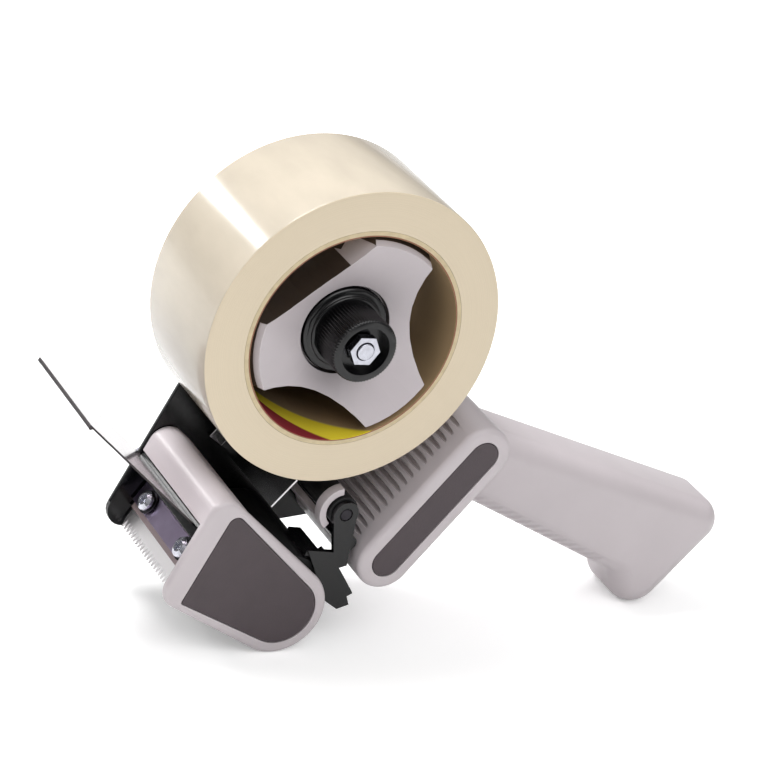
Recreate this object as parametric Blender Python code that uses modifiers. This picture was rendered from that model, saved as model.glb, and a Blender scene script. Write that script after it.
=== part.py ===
"""Packing tape dispenser with a pistol grip and a roll of clear tape, modelled as separate solids.

Metres, +Z up. Every piece is drawn in a side view whose origin is the reel axis: X runs from the
head to the handle, Z is up, and Y runs from the roll's near face (zero) to the side plate. The
empty named stand carries that side view. It leans it until the head's round lobe and the handle's
lobe both rest on the ground, with the world's origin under the middle of the whole object.
"""
from math import acos, asin, atan2, ceil, cos, hypot, pi, radians, sin, tau

import bmesh
import bpy
from mathutils import Matrix, Vector

# Fits between pieces
GAP = 0.0003
RUN_GAP = 0.0002
CUT_OVERRUN = 0.004
MERGE = 0.00001

# Roll of tape, its core and the hub inside it
TAPE_WIDTH = 0.048
ROLL_RADIUS = 0.0544
CORE_BORE_RADIUS = 0.0381
CORE_WALL = 0.0020
HUB_FACE_RADIUS = 0.0352
HUB_FACE_PROUD = 0.0010
HUB_WALL = 0.0022
HUB_TAPER = 0.0050
HUB_FLANGE_REACH = 0.0030
HUB_FLANGE_THICKNESS = 0.0010
HUB_RING_DEPTH = 0.0033
DISH_RADIUS = 0.0165
DISH_DEPTH = 0.0116
HUB_TUBE_WALL = 0.0022
SCALLOP_COUNT = 3
SCALLOP_RADIUS = 0.0590
SCALLOP_WAIST = 0.0228
SCALLOP_TURN = radians(12.0)

# Shaft, brake and knob, all on the reel axis
BOLT_RADIUS = 0.0030
BOLT_HEAD_FLATS = 0.0110
BOLT_HEAD_HEIGHT = 0.0040
BOLT_END_PROUD = 0.0006
SLEEVE_WALL = 0.0014
NUT_FLATS = 0.0100
NUT_HEIGHT = 0.0030
JAM_NUT_HEIGHT = 0.0040
WASHER_RADIUS = 0.0086
WASHER_THICKNESS = 0.0008
FELT_THICKNESS = 0.0012
SPRING_WIRE_RADIUS = 0.0006
SPRING_RADIUS = 0.0074
SPRING_TURNS = 4
SPRING_POINTS_PER_TURN = 10
KNOB_BASE_RADIUS = 0.0157
KNOB_BASE_THICKNESS = 0.0024
KNOB_STEP_RADIUS = 0.0131
KNOB_STEP_HEIGHT = 0.0012
KNOB_GRIP_RADIUS = 0.0118
KNOB_CAVITY_RADIUS = 0.0091
KNOB_RECESS_RADIUS = 0.0088
KNOB_WEB = 0.0028
KNOB_KNURLS = 40
KNURL_DEPTH = 0.0006
KNOB_TRAVEL = 0.0010
KNOB_BACK_TRAVEL = 0.00075
KNOB_CHAMFER = 0.0008
KNOB_FRONT = 0.0088
KNOB_RECESS_DEPTH = 0.0042
KNURL_SHARES = (0.0, 1.0, 1.0)

# Side plate
PLATE_THICKNESS = 0.0020
PLATE_STANDOFF = 0.0017
BOSS_RADIUS = 0.0170
NOTCH_RADIUS = 0.0050
NOTCH_SHIFT = 0.0225
NOTCH_RISE = 0.0004
FRONT_NOTCH_SHIFT = -0.0228
FRONT_NOTCH_RISE = 0.0030
PLATE_CORNER_RADIUS = 0.0071
PLATE_CORNER_SHIFT = 0.0088
PLATE_CORNER_DROP = 0.0332

# Head: its frame runs along the back edge, from nose to lobe, and away from the reel.
# Shifts are measured from the nose and drops from the back edge
HEAD_ANGLE = radians(-38.0)
HEAD_GAP = 0.0120
HEAD_WIDTH_NEAR = 0.0045
FLANGE_THICKNESS = 0.0023
HEAD_WALL = 0.0024
HEAD_SEAM = 0.0002
EDGE_ROUND = 0.0014
NOSE_RADIUS = 0.0070
LOBE_RADIUS = 0.0171
LOBE_SETBACK = 0.0080
BACK_LENGTH = 0.0466
CORNER_RADIUS = 0.0080
CORNER_SHIFT = 0.0101
HEAD_DEPTH = 0.0415
LIP_LENGTH = 0.0050
WALL_LENGTH = 0.0055
POST_RADIUS = 0.0042
BACK_POST_SHIFT = 0.0235
BACK_POST_DROP = 0.0100
LABEL_THICKNESS = 0.0009
LABEL_BACK_BAND = 0.0029
LABEL_TOP_SHIFT = 0.0048
LABEL_TOP_RADIUS = 0.0030
LABEL_CORNER_SHIFT = 0.0132
LABEL_CORNER_RADIUS = 0.0008
LABEL_FOOT_BAND = 0.0036
LABEL_LOBE_BAND = 0.0045

# Applicator roller, whose axis is back from the lobe's centre, so that it stands past the back edge
APPLICATOR_SHIFT = 0.0005
APPLICATOR_RISE = 0.0024
APPLICATOR_RADIUS = 0.0173
TYRE_WALL = 0.0035
AXLE_RADIUS = 0.0040
AXLE_SOCKET_WALL = 0.0020
AXLE_SOCKET_HEIGHT = 0.0042
AXLE_HEAD_RADIUS = 0.0065
AXLE_HEAD_HEIGHT = 0.0025

# Blade unit: its frame starts at the clamp screws, runs towards the teeth and out of the opening
BLADE_SHIFT = 0.0064
BLADE_DROP = 0.0250
BLADE_ANGLE = radians(-118.2)
BLADE_REACH = 0.0145
BLADE_TAIL = 0.0040
BLADE_THICKNESS = 0.0008
BLADE_END_GAP = 0.0006
TOOTH_PITCH = 0.0021
TOOTH_LENGTH = 0.0034
SPACER_REACH = 0.0068
SPACER_THICKNESS = 0.0009
CLAMP_REACH = 0.0044
CLAMP_THICKNESS = 0.0012
HOLDER_DEPTH = 0.0060
HOLDER_REACH = 0.0062
CLAMP_SCREW_INSET = 0.0092
CLAMP_SCREW_RADIUS = 0.0017
CLAMP_SCREW_HEAD_RADIUS = 0.0037
CLAMP_SCREW_HEAD_HEIGHT = 0.0022
CLAMP_SCREW_LENGTH = 0.0084
CLAMP_WASHER_RADIUS = 0.0045
CLAMP_WASHER_THICKNESS = 0.0006
CROSS_WIDTH = 0.0010
CROSS_DEPTH = 0.0012
CROSS_REACH_SHARE = 0.54
CROSS_TIP_SHARE = 0.8
CROWN_SHARE = 0.6

# Flap, hinged in the side view at its root
FLAP_SHIFT = -0.0049
FLAP_DROP = 0.0159
FLAP_ANGLE = radians(140.8)
FLAP_LENGTH = 0.0590
FLAP_THICKNESS = 0.0007
FLAP_BEAD_RADIUS = 0.0008
FLAP_NEAR = 0.0010
FLAP_SIDE_GAP = 0.0004
FLAP_CLAMP_RISE = 0.0016
FLAP_CLAMP_GAP = 0.0006
FLAP_BEAD_SHARE = 0.985
FLAP_CLAMP_DEPTH = 0.0060
FLAP_CLAMP_THICKNESS = 0.0050

# Rear body: its frame runs up along the bar, and away from the reel. The bar's low end rises
# from the point where its roll side would meet the head's back edge
REAR_ANGLE = radians(57.0)
REAR_GAP = 0.0090
REAR_RADIUS = 0.0110
BAR_RISE = 0.0197
BAR_LENGTH = 0.0500
REAR_WALL = 0.0025
REAR_POST_RADIUS = 0.0044
REAR_LABEL_RADIUS = 0.0056
REAR_LABEL_DEPTH = 0.0009
GROOVE_COUNT = 17
GROOVE_PITCH = 0.0034
GROOVE_WIDTH = 0.0021
GROOVE_DEPTH = 0.0012
GROOVE_SIDE = 0.0085

# Handle: its frame starts at the bar's upper end and runs along the top edge, and down from it
HANDLE_ANGLE = radians(-16.5)
HANDLE_TOP = 0.0057
HANDLE_NEAR = 0.0080
HANDLE_THICKNESS = 0.0300
HANDLE_ROUND = 0.0085
HANDLE_ROOT_RADIUS = 0.0100
HANDLE_ROOT_ALONG = 0.0050
HANDLE_ROOT_LOW_ALONG = -0.0001
HANDLE_ROOT_LOW_DROP = 0.0106
HANDLE_CORNER_ALONG = 0.1203
HANDLE_CORNER_RADIUS = 0.0095
HANDLE_LOBE_ALONG = 0.1088
HANDLE_LOBE_DROP = 0.0315
HANDLE_LOBE_RADIUS = 0.0111
HANDLE_HOOK_ALONG = 0.0932
HANDLE_HOOK_DROP = 0.0365
HANDLE_HOOK_RADIUS = 0.0040
FINGER_GROOVE_COUNT = 15
FINGER_GROOVE_RADIUS = 0.0018
FINGER_GROOVE_DEPTH = 0.0008
FINGER_GROOVE_LENGTH = 0.0160
FINGER_GROOVE_PITCH = 0.0050
FINGER_GROOVE_START = 0.0150
HANDLE_SCREW_ALONG = -0.0090
HANDLE_SCREW_SPREAD = 0.0120
HANDLE_SCREW_LENGTH = 0.0110

# Frame screws, driven through the side plate into the posts and bars
SCREW_RADIUS = 0.0018
SCREW_HEAD_RADIUS = 0.0036
SCREW_HEAD_HEIGHT = 0.0022
SCREW_LENGTH = 0.0120
BAR_SCREW_LENGTH = 0.0080

# Tension roller, its curved guide and the bracket, whose places are measured from its axis
TENSION_RISE = 0.0040
TENSION_CLEAR = 0.0145
TENSION_RADIUS = 0.0055
TENSION_AXLE_RADIUS = 0.0022
TENSION_HEAD_RADIUS = 0.0040
TENSION_HEAD_HEIGHT = 0.0018
TENSION_DISC_THICKNESS = 0.0030
TAPE_GUIDE_BORE = 0.0064
TAPE_GUIDE_WALL = 0.0026
TAPE_GUIDE_START = radians(100.0)
TAPE_GUIDE_SWEEP = radians(130.0)
TAPE_GUIDE_RIB = radians(26.0)
TAPE_GUIDE_EAR = 0.0042
TAPE_GUIDE_DISC = 0.0076
TAPE_GUIDE_NEAR = 0.0018
GUIDE_LUG_RADIUS = 0.0012
GUIDE_LUG_OFFSET = 0.0062
BRACKET_THICKNESS = 0.0020
BRACKET_BAR_DEPTH = 0.0160
BRACKET_BAR_WIDTH = 0.0050
BRACKET_BAR_THICKNESS = 0.0024
BRACKET_FOOT_DEPTH = 0.0140
BRACKET_ROD_RADIUS = 0.0030
BRACKET_ROD_SHIFT = 0.0047
BRACKET_ROD_DROP = 0.0120
BRACKET_RING_WALL = 0.0026
RING_OVERLAP = radians(20.0)
FOOT_INSET_SHARE = 0.1

# Corners of the bracket's web, each measured from the one before: the first from the axis
SADDLE_SHIFT = -0.0011
SADDLE_DROP = 0.0149
TOP_SHIFT = -0.0103
TOP_DROP = -0.0009
SIDE_SHIFT = 0.0064
SIDE_DROP = 0.0112
HEEL_SHIFT = 0.0061
HEEL_DROP = 0.0098
TOE_SHIFT = 0.0051
TOE_DROP = 0.0032
TIP_SHIFT = 0.0045
TIP_DROP = -0.0017
NICK_SHIFT = -0.0017
NICK_DROP = -0.0034
SPUR_SHIFT = 0.0020
SPUR_DROP = -0.0013
NOTCH_BACK_SHIFT = -0.0083
NOTCH_BACK_DROP = -0.0105
TAIL_SHIFT = 0.0029
TAIL_DROP = -0.0009
STRIP_THICKNESS = 0.0008
STRIP_NEAR = 0.0050
STRIP_REACH = 0.0130
STRIP_FOOT = 0.0060
STRIP_SHIFT = 0.0171
STRIP_ANGLE = radians(55.0)
STRIP_TAB_LENGTH = 0.0090
STRIP_TAB_WIDTH = 0.0070
STRIP_TAB_THICKNESS = 0.0012
STRIP_SCREW_LENGTH = 0.0050
STRIP_SCREW_SHARE = 0.58

# Fineness of round shapes
ARC_STEP = radians(15.0)
SMOOTH_ANGLE = radians(35.0)
LARGE_STEPS = 60
MEDIUM_STEPS = 36
SMALL_STEPS = 24
CROSS_HEAD_STEPS = 20
SCREW_STEPS = 10
BEAD_STEPS = 10
ROUND_LAYERS = 3
HALF_SHARE = 0.5

# Places that follow from the sizes above
PLATE_NEAR = TAPE_WIDTH + PLATE_STANDOFF
PLATE_FAR = PLATE_NEAR + PLATE_THICKNESS
INNER_FAR = PLATE_NEAR - GAP
HEAD_SEAT = PLATE_FAR + GAP
FLANGE_INNER = FLANGE_THICKNESS - HEAD_WIDTH_NEAR
HUB_RADIUS = CORE_BORE_RADIUS - GAP
CORE_RADIUS = CORE_BORE_RADIUS + CORE_WALL
DISH_FLOOR = DISH_DEPTH - HUB_FACE_PROUD
SLEEVE_RADIUS = BOLT_RADIUS + GAP + SLEEVE_WALL
HUB_BORE_RADIUS = SLEEVE_RADIUS + RUN_GAP
KNOB_WEB_NEAR = KNOB_RECESS_DEPTH - KNOB_FRONT
NUT_FAR = KNOB_WEB_NEAR - KNOB_BACK_TRAVEL - GAP
BOLT_END = NUT_FAR - NUT_HEIGHT - BOLT_END_PROUD
HEAD_BACK = ROLL_RADIUS + HEAD_GAP
REAR_FACE = ROLL_RADIUS + REAR_GAP
REAR_OUT = REAR_FACE + REAR_RADIUS
SPREAD = REAR_ANGLE - HEAD_ANGLE
LOBE_ALONG = (REAR_FACE - HEAD_BACK * cos(SPREAD)) / sin(SPREAD) - LOBE_SETBACK
NOSE_ALONG = LOBE_ALONG - BACK_LENGTH
REAR_LOW = (REAR_FACE * cos(SPREAD) - HEAD_BACK) / sin(SPREAD) + BAR_RISE
REAR_HIGH = REAR_LOW + BAR_LENGTH


def direction(angle, length=1.0):
    """A side-view vector (x, z) at an angle."""
    return cos(angle) * length, sin(angle) * length


def in_frame(origin, angle, along, out):
    """A side-view point from its place along an angle and to the right of it, from an origin."""
    return (origin[0] + along * cos(angle) + out * sin(angle),
            origin[1] + along * sin(angle) - out * cos(angle))


def head_point(along, out):
    """A point of the head, from its place along the back edge and its distance from the reel."""
    return in_frame((0, 0), HEAD_ANGLE, along, out)


def rear_point(along, out):
    """A point of the rear body, from its place up the bar and its distance from the reel."""
    return in_frame((0, 0), REAR_ANGLE, along, out)


NOSE = head_point(NOSE_ALONG, HEAD_BACK + NOSE_RADIUS)
LOBE = head_point(LOBE_ALONG, HEAD_BACK + LOBE_RADIUS)
CORNER = head_point(NOSE_ALONG + CORNER_SHIFT, HEAD_BACK + HEAD_DEPTH - CORNER_RADIUS)
PLATE_CORNER = head_point(NOSE_ALONG + PLATE_CORNER_SHIFT, HEAD_BACK + PLATE_CORNER_DROP)
APPLICATOR = head_point(LOBE_ALONG + APPLICATOR_SHIFT, HEAD_BACK + LOBE_RADIUS - APPLICATOR_RISE)
BACK_POST = head_point(NOSE_ALONG + BACK_POST_SHIFT, HEAD_BACK + BACK_POST_DROP)
BLADE_ROOT = head_point(NOSE_ALONG + BLADE_SHIFT, HEAD_BACK + BLADE_DROP)
FLAP_ROOT = head_point(NOSE_ALONG + FLAP_SHIFT, HEAD_BACK + FLAP_DROP)
STRIP_ROOT = head_point(NOSE_ALONG + STRIP_SHIFT, HEAD_BACK - STRIP_FOOT)
REAR_LOW_END = rear_point(REAR_LOW, REAR_OUT)
REAR_HIGH_END = rear_point(REAR_HIGH, REAR_OUT)
TENSION = rear_point(REAR_LOW + TENSION_RISE, REAR_FACE - TENSION_CLEAR)


def handle_point(along, drop):
    """A point of the handle, along its top edge's direction and down from the bar's upper end."""
    return in_frame(REAR_HIGH_END, HANDLE_ANGLE, along, drop)


def bracket_point(shift, drop):
    """A point of the bracket, to the right of and below the tension roller's axis."""
    return TENSION[0] + shift, TENSION[1] - drop


HANDLE_LOBE = handle_point(HANDLE_LOBE_ALONG, HANDLE_LOBE_DROP)
HANDLE_MIDDLE = HANDLE_NEAR + HANDLE_THICKNESS / 2
HANDLE_SCREW_PLACES = [
    rear_point(REAR_HIGH + HANDLE_SCREW_ALONG + side * HANDLE_SCREW_SPREAD / 2,
               REAR_OUT + REAR_RADIUS - REAR_WALL - GAP) for side in (-1, 1)]
BRACKET_ROD = bracket_point(BRACKET_ROD_SHIFT, BRACKET_ROD_DROP)
GUIDE_LUG = (TENSION[0] - GUIDE_LUG_OFFSET, TENSION[1])
STRIP_SCREW = in_frame(STRIP_ROOT, STRIP_ANGLE, STRIP_TAB_LENGTH * STRIP_SCREW_SHARE,
                       -STRIP_TAB_WIDTH * STRIP_SCREW_SHARE)
HOLDER_MIDDLE = CLAMP_THICKNESS + SPACER_THICKNESS + BLADE_THICKNESS + 3 * GAP + HOLDER_DEPTH / 2
LABEL_CIRCLES = [
    (*head_point(NOSE_ALONG + LABEL_TOP_SHIFT, HEAD_BACK + LABEL_BACK_BAND + LABEL_TOP_RADIUS),
     LABEL_TOP_RADIUS),
    (*head_point(NOSE_ALONG + LABEL_CORNER_SHIFT,
                 HEAD_BACK + HEAD_DEPTH - LABEL_FOOT_BAND - LABEL_CORNER_RADIUS), LABEL_CORNER_RADIUS),
    (*LOBE, LOBE_RADIUS - LABEL_LOBE_BAND)]
FRAME_SCREWS = {
    "head_screw_nose": (NOSE, SCREW_LENGTH),
    "head_screw_back": (BACK_POST, SCREW_LENGTH),
    "blade_holder_screw": (in_frame(BLADE_ROOT, BLADE_ANGLE, (HOLDER_REACH - BLADE_TAIL) / 2,
                                    -HOLDER_MIDDLE), BAR_SCREW_LENGTH),
    "flap_clamp_screw": (in_frame(FLAP_ROOT, FLAP_ANGLE, -FLAP_CLAMP_GAP - FLAP_CLAMP_DEPTH / 2,
                                  FLAP_CLAMP_RISE - FLAP_CLAMP_THICKNESS / 2), BAR_SCREW_LENGTH),
    "rear_screw_low": (REAR_LOW_END, SCREW_LENGTH),
    "rear_screw_high": (REAR_HIGH_END, SCREW_LENGTH),
    "bracket_screw": (BRACKET_ROD, SCREW_LENGTH),
    "guide_strip_screw": (STRIP_SCREW, STRIP_SCREW_LENGTH),
}


def clear_scene():
    """Removes every object, so that the script starts from an empty scene."""
    for thing in list(bpy.data.objects):
        bpy.data.objects.remove(thing, do_unlink=True)


def collection(name):
    """A new collection linked to the scene."""
    group = bpy.data.collections.new(name)
    bpy.context.scene.collection.children.link(group)
    return group


def finish(name, colour, roughness, metallic=0.0, alpha=1.0):
    """A Principled material for one kind of surface."""
    material = bpy.data.materials.new(name)
    material.use_nodes = True
    shader = material.node_tree.nodes["Principled BSDF"]
    shader.inputs["Base Color"].default_value = (*colour, 1.0)
    shader.inputs["Roughness"].default_value = roughness
    shader.inputs["Metallic"].default_value = metallic
    shader.inputs["Alpha"].default_value = alpha
    return material


def edge_normal(first, second):
    """The outward angle of the belt's straight run from one circle to the next."""
    (ax, az, ar), (bx, bz, br) = first, second
    lean = max(-1.0, min(1.0, (ar - br) / hypot(bx - ax, bz - az)))
    return atan2(bz - az, bx - ax) - acos(lean)


def arc(centre, radius, start, sweep, step=ARC_STEP):
    """The points of an arc, from its first angle through its sweep."""
    steps = max(1, ceil(abs(sweep) / step - MERGE))
    return [(centre[0] + radius * cos(start + sweep * n / steps),
             centre[1] + radius * sin(start + sweep * n / steps)) for n in range(steps + 1)]


def belt(circles, inset=0.0, step=ARC_STEP):
    """The outline of a belt run anticlockwise round circles (x, z, radius).

    A negative radius bends the belt inwards. The inset draws the whole outline in.
    """
    normals = [edge_normal(a, b) for a, b in zip(circles, circles[1:] + circles[:1])]
    points = []
    for index, (x, z, radius) in enumerate(circles):
        turn = (normals[index] - normals[index - 1]) % tau
        if radius < 0:
            turn -= tau
        points += arc((x, z), radius - inset, normals[index - 1], turn, step)
    return points


def strip_outline(circle, before, after, length_before, length_after, thickness):
    """The outline of a wall that runs straight, bends round a circle and runs straight again."""
    bend = (after - before) % tau
    outer = arc(circle[:2], circle[2], before, bend)
    inner = arc(circle[:2], circle[2] - thickness, before, bend)
    start = direction(before + pi / 2, -length_before)
    end = direction(after + pi / 2, length_after)
    for line in (outer, inner):
        line.insert(0, (line[0][0] + start[0], line[0][1] + start[1]))
        line.append((line[-1][0] + end[0], line[-1][1] + end[1]))
    return outer + inner[::-1]


def round_outline(centre, radius, steps=SMALL_STEPS):
    """A round outline, anticlockwise."""
    return [(centre[0] + radius * cos(tau * n / steps), centre[1] + radius * sin(tau * n / steps))
            for n in range(steps)]


def seat(thing, group, material, at=0.0, centre=(0, 0), turn=0.0):
    """Puts an object in its collection, on the stand, at its place in the side view."""
    group.objects.link(thing)
    if material:
        thing.data.materials.append(material)
    thing.parent = STAND
    thing.location = (centre[0], at, centre[1])
    thing.rotation_euler = (0, -turn, 0)
    return thing


def mesh_object(name, builder):
    """A new mesh object whose geometry the builder makes in a bmesh."""
    shape = bmesh.new()
    builder(shape)
    bmesh.ops.recalc_face_normals(shape, faces=shape.faces)
    mesh = bpy.data.meshes.new(name)
    shape.to_mesh(mesh)
    shape.free()
    return bpy.data.objects.new(name, mesh)


def smooth(thing):
    """Shades the round faces of a mesh smooth and keeps its edges sharp."""
    thing.data.shade_smooth()
    thing.data.set_sharp_from_angle(angle=SMOOTH_ANGLE)
    return thing


def loft(name, sections, group, material, **place):
    """A solid through outlines of equal point count, each with its depth, from near to far."""
    def build(shape):
        rings = [[shape.verts.new((x, depth, z)) for x, z in outline] for outline, depth in sections]
        count = len(rings[0])
        for first, second in zip(rings, rings[1:]):
            for n in range(count):
                shape.faces.new((first[n], first[(n + 1) % count], second[(n + 1) % count], second[n]))
        shape.faces.new(rings[0])
        shape.faces.new(rings[-1])
        bmesh.ops.remove_doubles(shape, verts=shape.verts, dist=MERGE)
    return smooth(seat(mesh_object(name, build), group, material, **place))


def rounded_prism(name, circles, near, far, group, material, near_round=0.0, far_round=0.0, **place):
    """A belt outline drawn from near to far, with rounded edges where a radius is given."""
    sections = []
    quarter = [pi / 2 * layer / ROUND_LAYERS for layer in range(ROUND_LAYERS)]
    if near_round:
        sections += [(belt(circles, near_round * (1 - sin(a))), near + near_round * (1 - cos(a)))
                     for a in quarter]
    sections.append((belt(circles), near + near_round))
    sections.append((belt(circles), far - far_round))
    if far_round:
        sections += [(belt(circles, far_round * (1 - sin(a))), far - far_round * (1 - cos(a)))
                     for a in reversed(quarter)]
    return loft(name, sections, group, material, **place)


def plate(name, outline, near, far, group, material, holes=(), flat=False, **place):
    """A filled outline with holes, as a curve turned into a welded mesh.

    It lies in the side view from near to far, or flat: in along and depth, with near and far then
    its heights.
    """
    curve = bpy.data.curves.new(name, "CURVE")
    curve.dimensions = "2D"
    curve.fill_mode = "BOTH"
    curve.extrude = (far - near) / 2
    for ring in (outline, *holes):
        spline = curve.splines.new("POLY")
        spline.points.add(len(ring) - 1)
        for point, (x, z) in zip(spline.points, ring):
            point.co = (x, z, 0, 1)
        spline.use_cyclic_u = True
    drawn = bpy.data.objects.new(name, curve)
    bpy.context.scene.collection.objects.link(drawn)
    bpy.context.view_layer.update()
    mesh = bpy.data.meshes.new_from_object(drawn.evaluated_get(bpy.context.evaluated_depsgraph_get()))
    bpy.data.objects.remove(drawn, do_unlink=True)
    shape = bmesh.new()
    shape.from_mesh(mesh)
    bmesh.ops.remove_doubles(shape, verts=shape.verts, dist=MERGE)
    bmesh.ops.translate(shape, verts=shape.verts, vec=(0, 0, (far + near) / 2))
    if not flat:
        bmesh.ops.rotate(shape, verts=shape.verts, matrix=Matrix.Rotation(pi / 2, 3, "X"))
        bmesh.ops.translate(shape, verts=shape.verts, vec=(0, far + near, 0))
    bmesh.ops.recalc_face_normals(shape, faces=shape.faces)
    shape.to_mesh(mesh)
    shape.free()
    mesh.name = name
    return seat(bpy.data.objects.new(name, mesh), group, material, **place)


def turned(name, profile, group, material, steps=SMALL_STEPS, ring=False, along_y=True, **place):
    """A turned piece on its own axis, from a profile of (radius, depth) that runs from far to near.

    The axis is Y, or the height of its turned frame.
    """
    def build(shape):
        points = [shape.verts.new((radius, 0, depth)) for radius, depth in profile]
        for first, second in zip(points, points[1:]):
            shape.edges.new((first, second))
        if ring:
            shape.edges.new((points[-1], points[0]))
    thing = seat(mesh_object(name, build), group, material, **place)
    if along_y:
        thing.rotation_euler = (-pi / 2, 0, 0)
    screw = thing.modifiers.new("turn", "SCREW")
    screw.axis = "Z"
    screw.angle = tau
    screw.steps = steps
    screw.render_steps = steps
    screw.use_merge_vertices = True
    screw.merge_threshold = MERGE
    screw.use_smooth_shade = True
    return thing


def tube(name, bore, radius, near, far, group, material, **options):
    """A plain turned tube."""
    profile = [(bore, far), (radius, far), (radius, near), (bore, near)]
    return turned(name, profile, group, material, ring=True, **options)


def rod(name, radius, near, far, group, material, steps=SMALL_STEPS, along_y=True, **place):
    """A plain round rod."""
    def build(shape):
        bmesh.ops.create_cone(shape, cap_ends=True, segments=steps, radius1=radius, radius2=radius,
                              depth=far - near)
        bmesh.ops.translate(shape, verts=shape.verts, vec=(0, 0, (far + near) / 2))
        if along_y:
            bmesh.ops.rotate(shape, verts=shape.verts, matrix=Matrix.Rotation(-pi / 2, 3, "X"))
    return smooth(seat(mesh_object(name, build), group, material, **place))


def block(name, low, high, group, material, **place):
    """A box between two corners (along, depth, height) of its own turned frame."""
    size = [b - a for a, b in zip(low, high)]
    middle = [(a + b) / 2 for a, b in zip(low, high)]

    def build(shape):
        bmesh.ops.create_cube(shape, size=1.0)
        bmesh.ops.scale(shape, verts=shape.verts, vec=size)
        bmesh.ops.translate(shape, verts=shape.verts, vec=middle)
    return seat(mesh_object(name, build), group, material, **place)


def combine(thing, tool, operation):
    """Adds an exact Boolean with a tool that stays hidden among the cutters."""
    boolean = thing.modifiers.new(tool.name, "BOOLEAN")
    boolean.operation = operation
    boolean.solver = "EXACT"
    boolean.object = tool
    tool.hide_render = True
    tool.display_type = "WIRE"
    return thing


def cut(thing, tool):
    """Takes the tool's space away from the piece."""
    return combine(thing, tool, "DIFFERENCE")


def fuse(thing, tool):
    """Joins the tool's shape to the piece."""
    return combine(thing, tool, "UNION")


def drill(thing, centre, radius, near, far, **options):
    """Cuts a round hole along Y."""
    return cut(thing, rod(f"{thing.name}_hole", radius, near, far, TOOLS, None, centre=centre, **options))


def hexagon(name, flats, near, far, group, material, bore=0.0):
    """A six-sided nut or bolt head on the reel axis, with a bore where it has one."""
    holes = (round_outline((0, 0), bore),) if bore else ()
    return plate(name, round_outline((0, 0), flats / 2 / cos(pi / 6), 6), near, far, group, material, holes)


def screw(name, radius, length, head_radius, head_height, group, material, **place):
    """A domed screw whose head stands on its origin, with the shaft below it."""
    crown = head_radius * CROWN_SHARE
    profile = [(0, head_height), (crown, head_height), (head_radius, head_height * CROWN_SHARE),
               (head_radius, 0), (radius, 0), (radius, -length), (0, -length)]
    return turned(name, profile, group, material, **place)


def pilot(thing, fixing):
    """The hole that a named frame screw holds in, a little longer than the screw."""
    centre, length = FRAME_SCREWS[fixing]
    return drill(thing, centre, SCREW_RADIUS + GAP, HEAD_SEAT - length - GAP, PLATE_FAR + CUT_OVERRUN,
                 steps=SCREW_STEPS)


def side_plate(parts, finishes):
    """The black steel plate on the far side that carries every other piece."""
    front_notch = (LOBE[0] + FRONT_NOTCH_SHIFT, LOBE[1] + FRONT_NOTCH_RISE, -NOTCH_RADIUS)
    notch = (LOBE[0] + NOTCH_SHIFT, LOBE[1] + NOTCH_RISE, -NOTCH_RADIUS)
    circles = [(*PLATE_CORNER, PLATE_CORNER_RADIUS), front_notch, (*LOBE, LOBE_RADIUS), notch,
               (*REAR_LOW_END, REAR_RADIUS), (*REAR_HIGH_END, REAR_RADIUS), (0, 0, BOSS_RADIUS)]
    holes = [round_outline((0, 0), BOLT_RADIUS + GAP), round_outline(APPLICATOR, AXLE_RADIUS + GAP),
             round_outline(TENSION, TENSION_AXLE_RADIUS + GAP, SCREW_STEPS),
             round_outline(GUIDE_LUG, GUIDE_LUG_RADIUS + GAP, SCREW_STEPS)]
    holes += [round_outline(centre, SCREW_RADIUS + GAP, SCREW_STEPS) for centre, _ in FRAME_SCREWS.values()]
    plate("side_plate", belt(circles), PLATE_NEAR, PLATE_FAR, parts, finishes["black steel"], holes)


def head_shell(parts, finishes):
    """The light grey head: a near flange, a wall round the nose and back, posts and axle socket."""
    nose, corner, lobe = (*NOSE, NOSE_RADIUS), (*CORNER, CORNER_RADIUS), (*LOBE, LOBE_RADIUS)
    root = FLANGE_INNER - FLANGE_THICKNESS / 2
    shell = rounded_prism("head_shell", [nose, corner, lobe], -HEAD_WIDTH_NEAR, FLANGE_INNER, parts,
                          finishes["light grey plastic"], near_round=EDGE_ROUND)
    bend = (*NOSE, NOSE_RADIUS - HEAD_SEAM)
    outline = strip_outline(bend, edge_normal(lobe, nose), edge_normal(nose, corner), WALL_LENGTH,
                            LIP_LENGTH, HEAD_WALL)
    fuse(shell, plate("head_wall", outline, root, INNER_FAR, TOOLS, None))
    for fixing in ("head_screw_nose", "head_screw_back"):
        fuse(shell, rod("head_post", POST_RADIUS, root, INNER_FAR, TOOLS, None,
                        centre=FRAME_SCREWS[fixing][0]))
        pilot(shell, fixing)
    socket = tube("axle_socket", AXLE_RADIUS + GAP, AXLE_RADIUS + GAP + AXLE_SOCKET_WALL, root,
                  FLANGE_INNER + AXLE_SOCKET_HEIGHT, TOOLS, None, centre=APPLICATOR)
    fuse(shell, socket)
    cut(shell, plate("head_label_seat", belt(LABEL_CIRCLES, -GAP), -HEAD_WIDTH_NEAR - CUT_OVERRUN,
                     LABEL_THICKNESS + GAP - HEAD_WIDTH_NEAR, TOOLS, None))
    plate("head_label", belt(LABEL_CIRCLES), -HEAD_WIDTH_NEAR, LABEL_THICKNESS - HEAD_WIDTH_NEAR, parts,
          finishes["dark label"])


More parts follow.
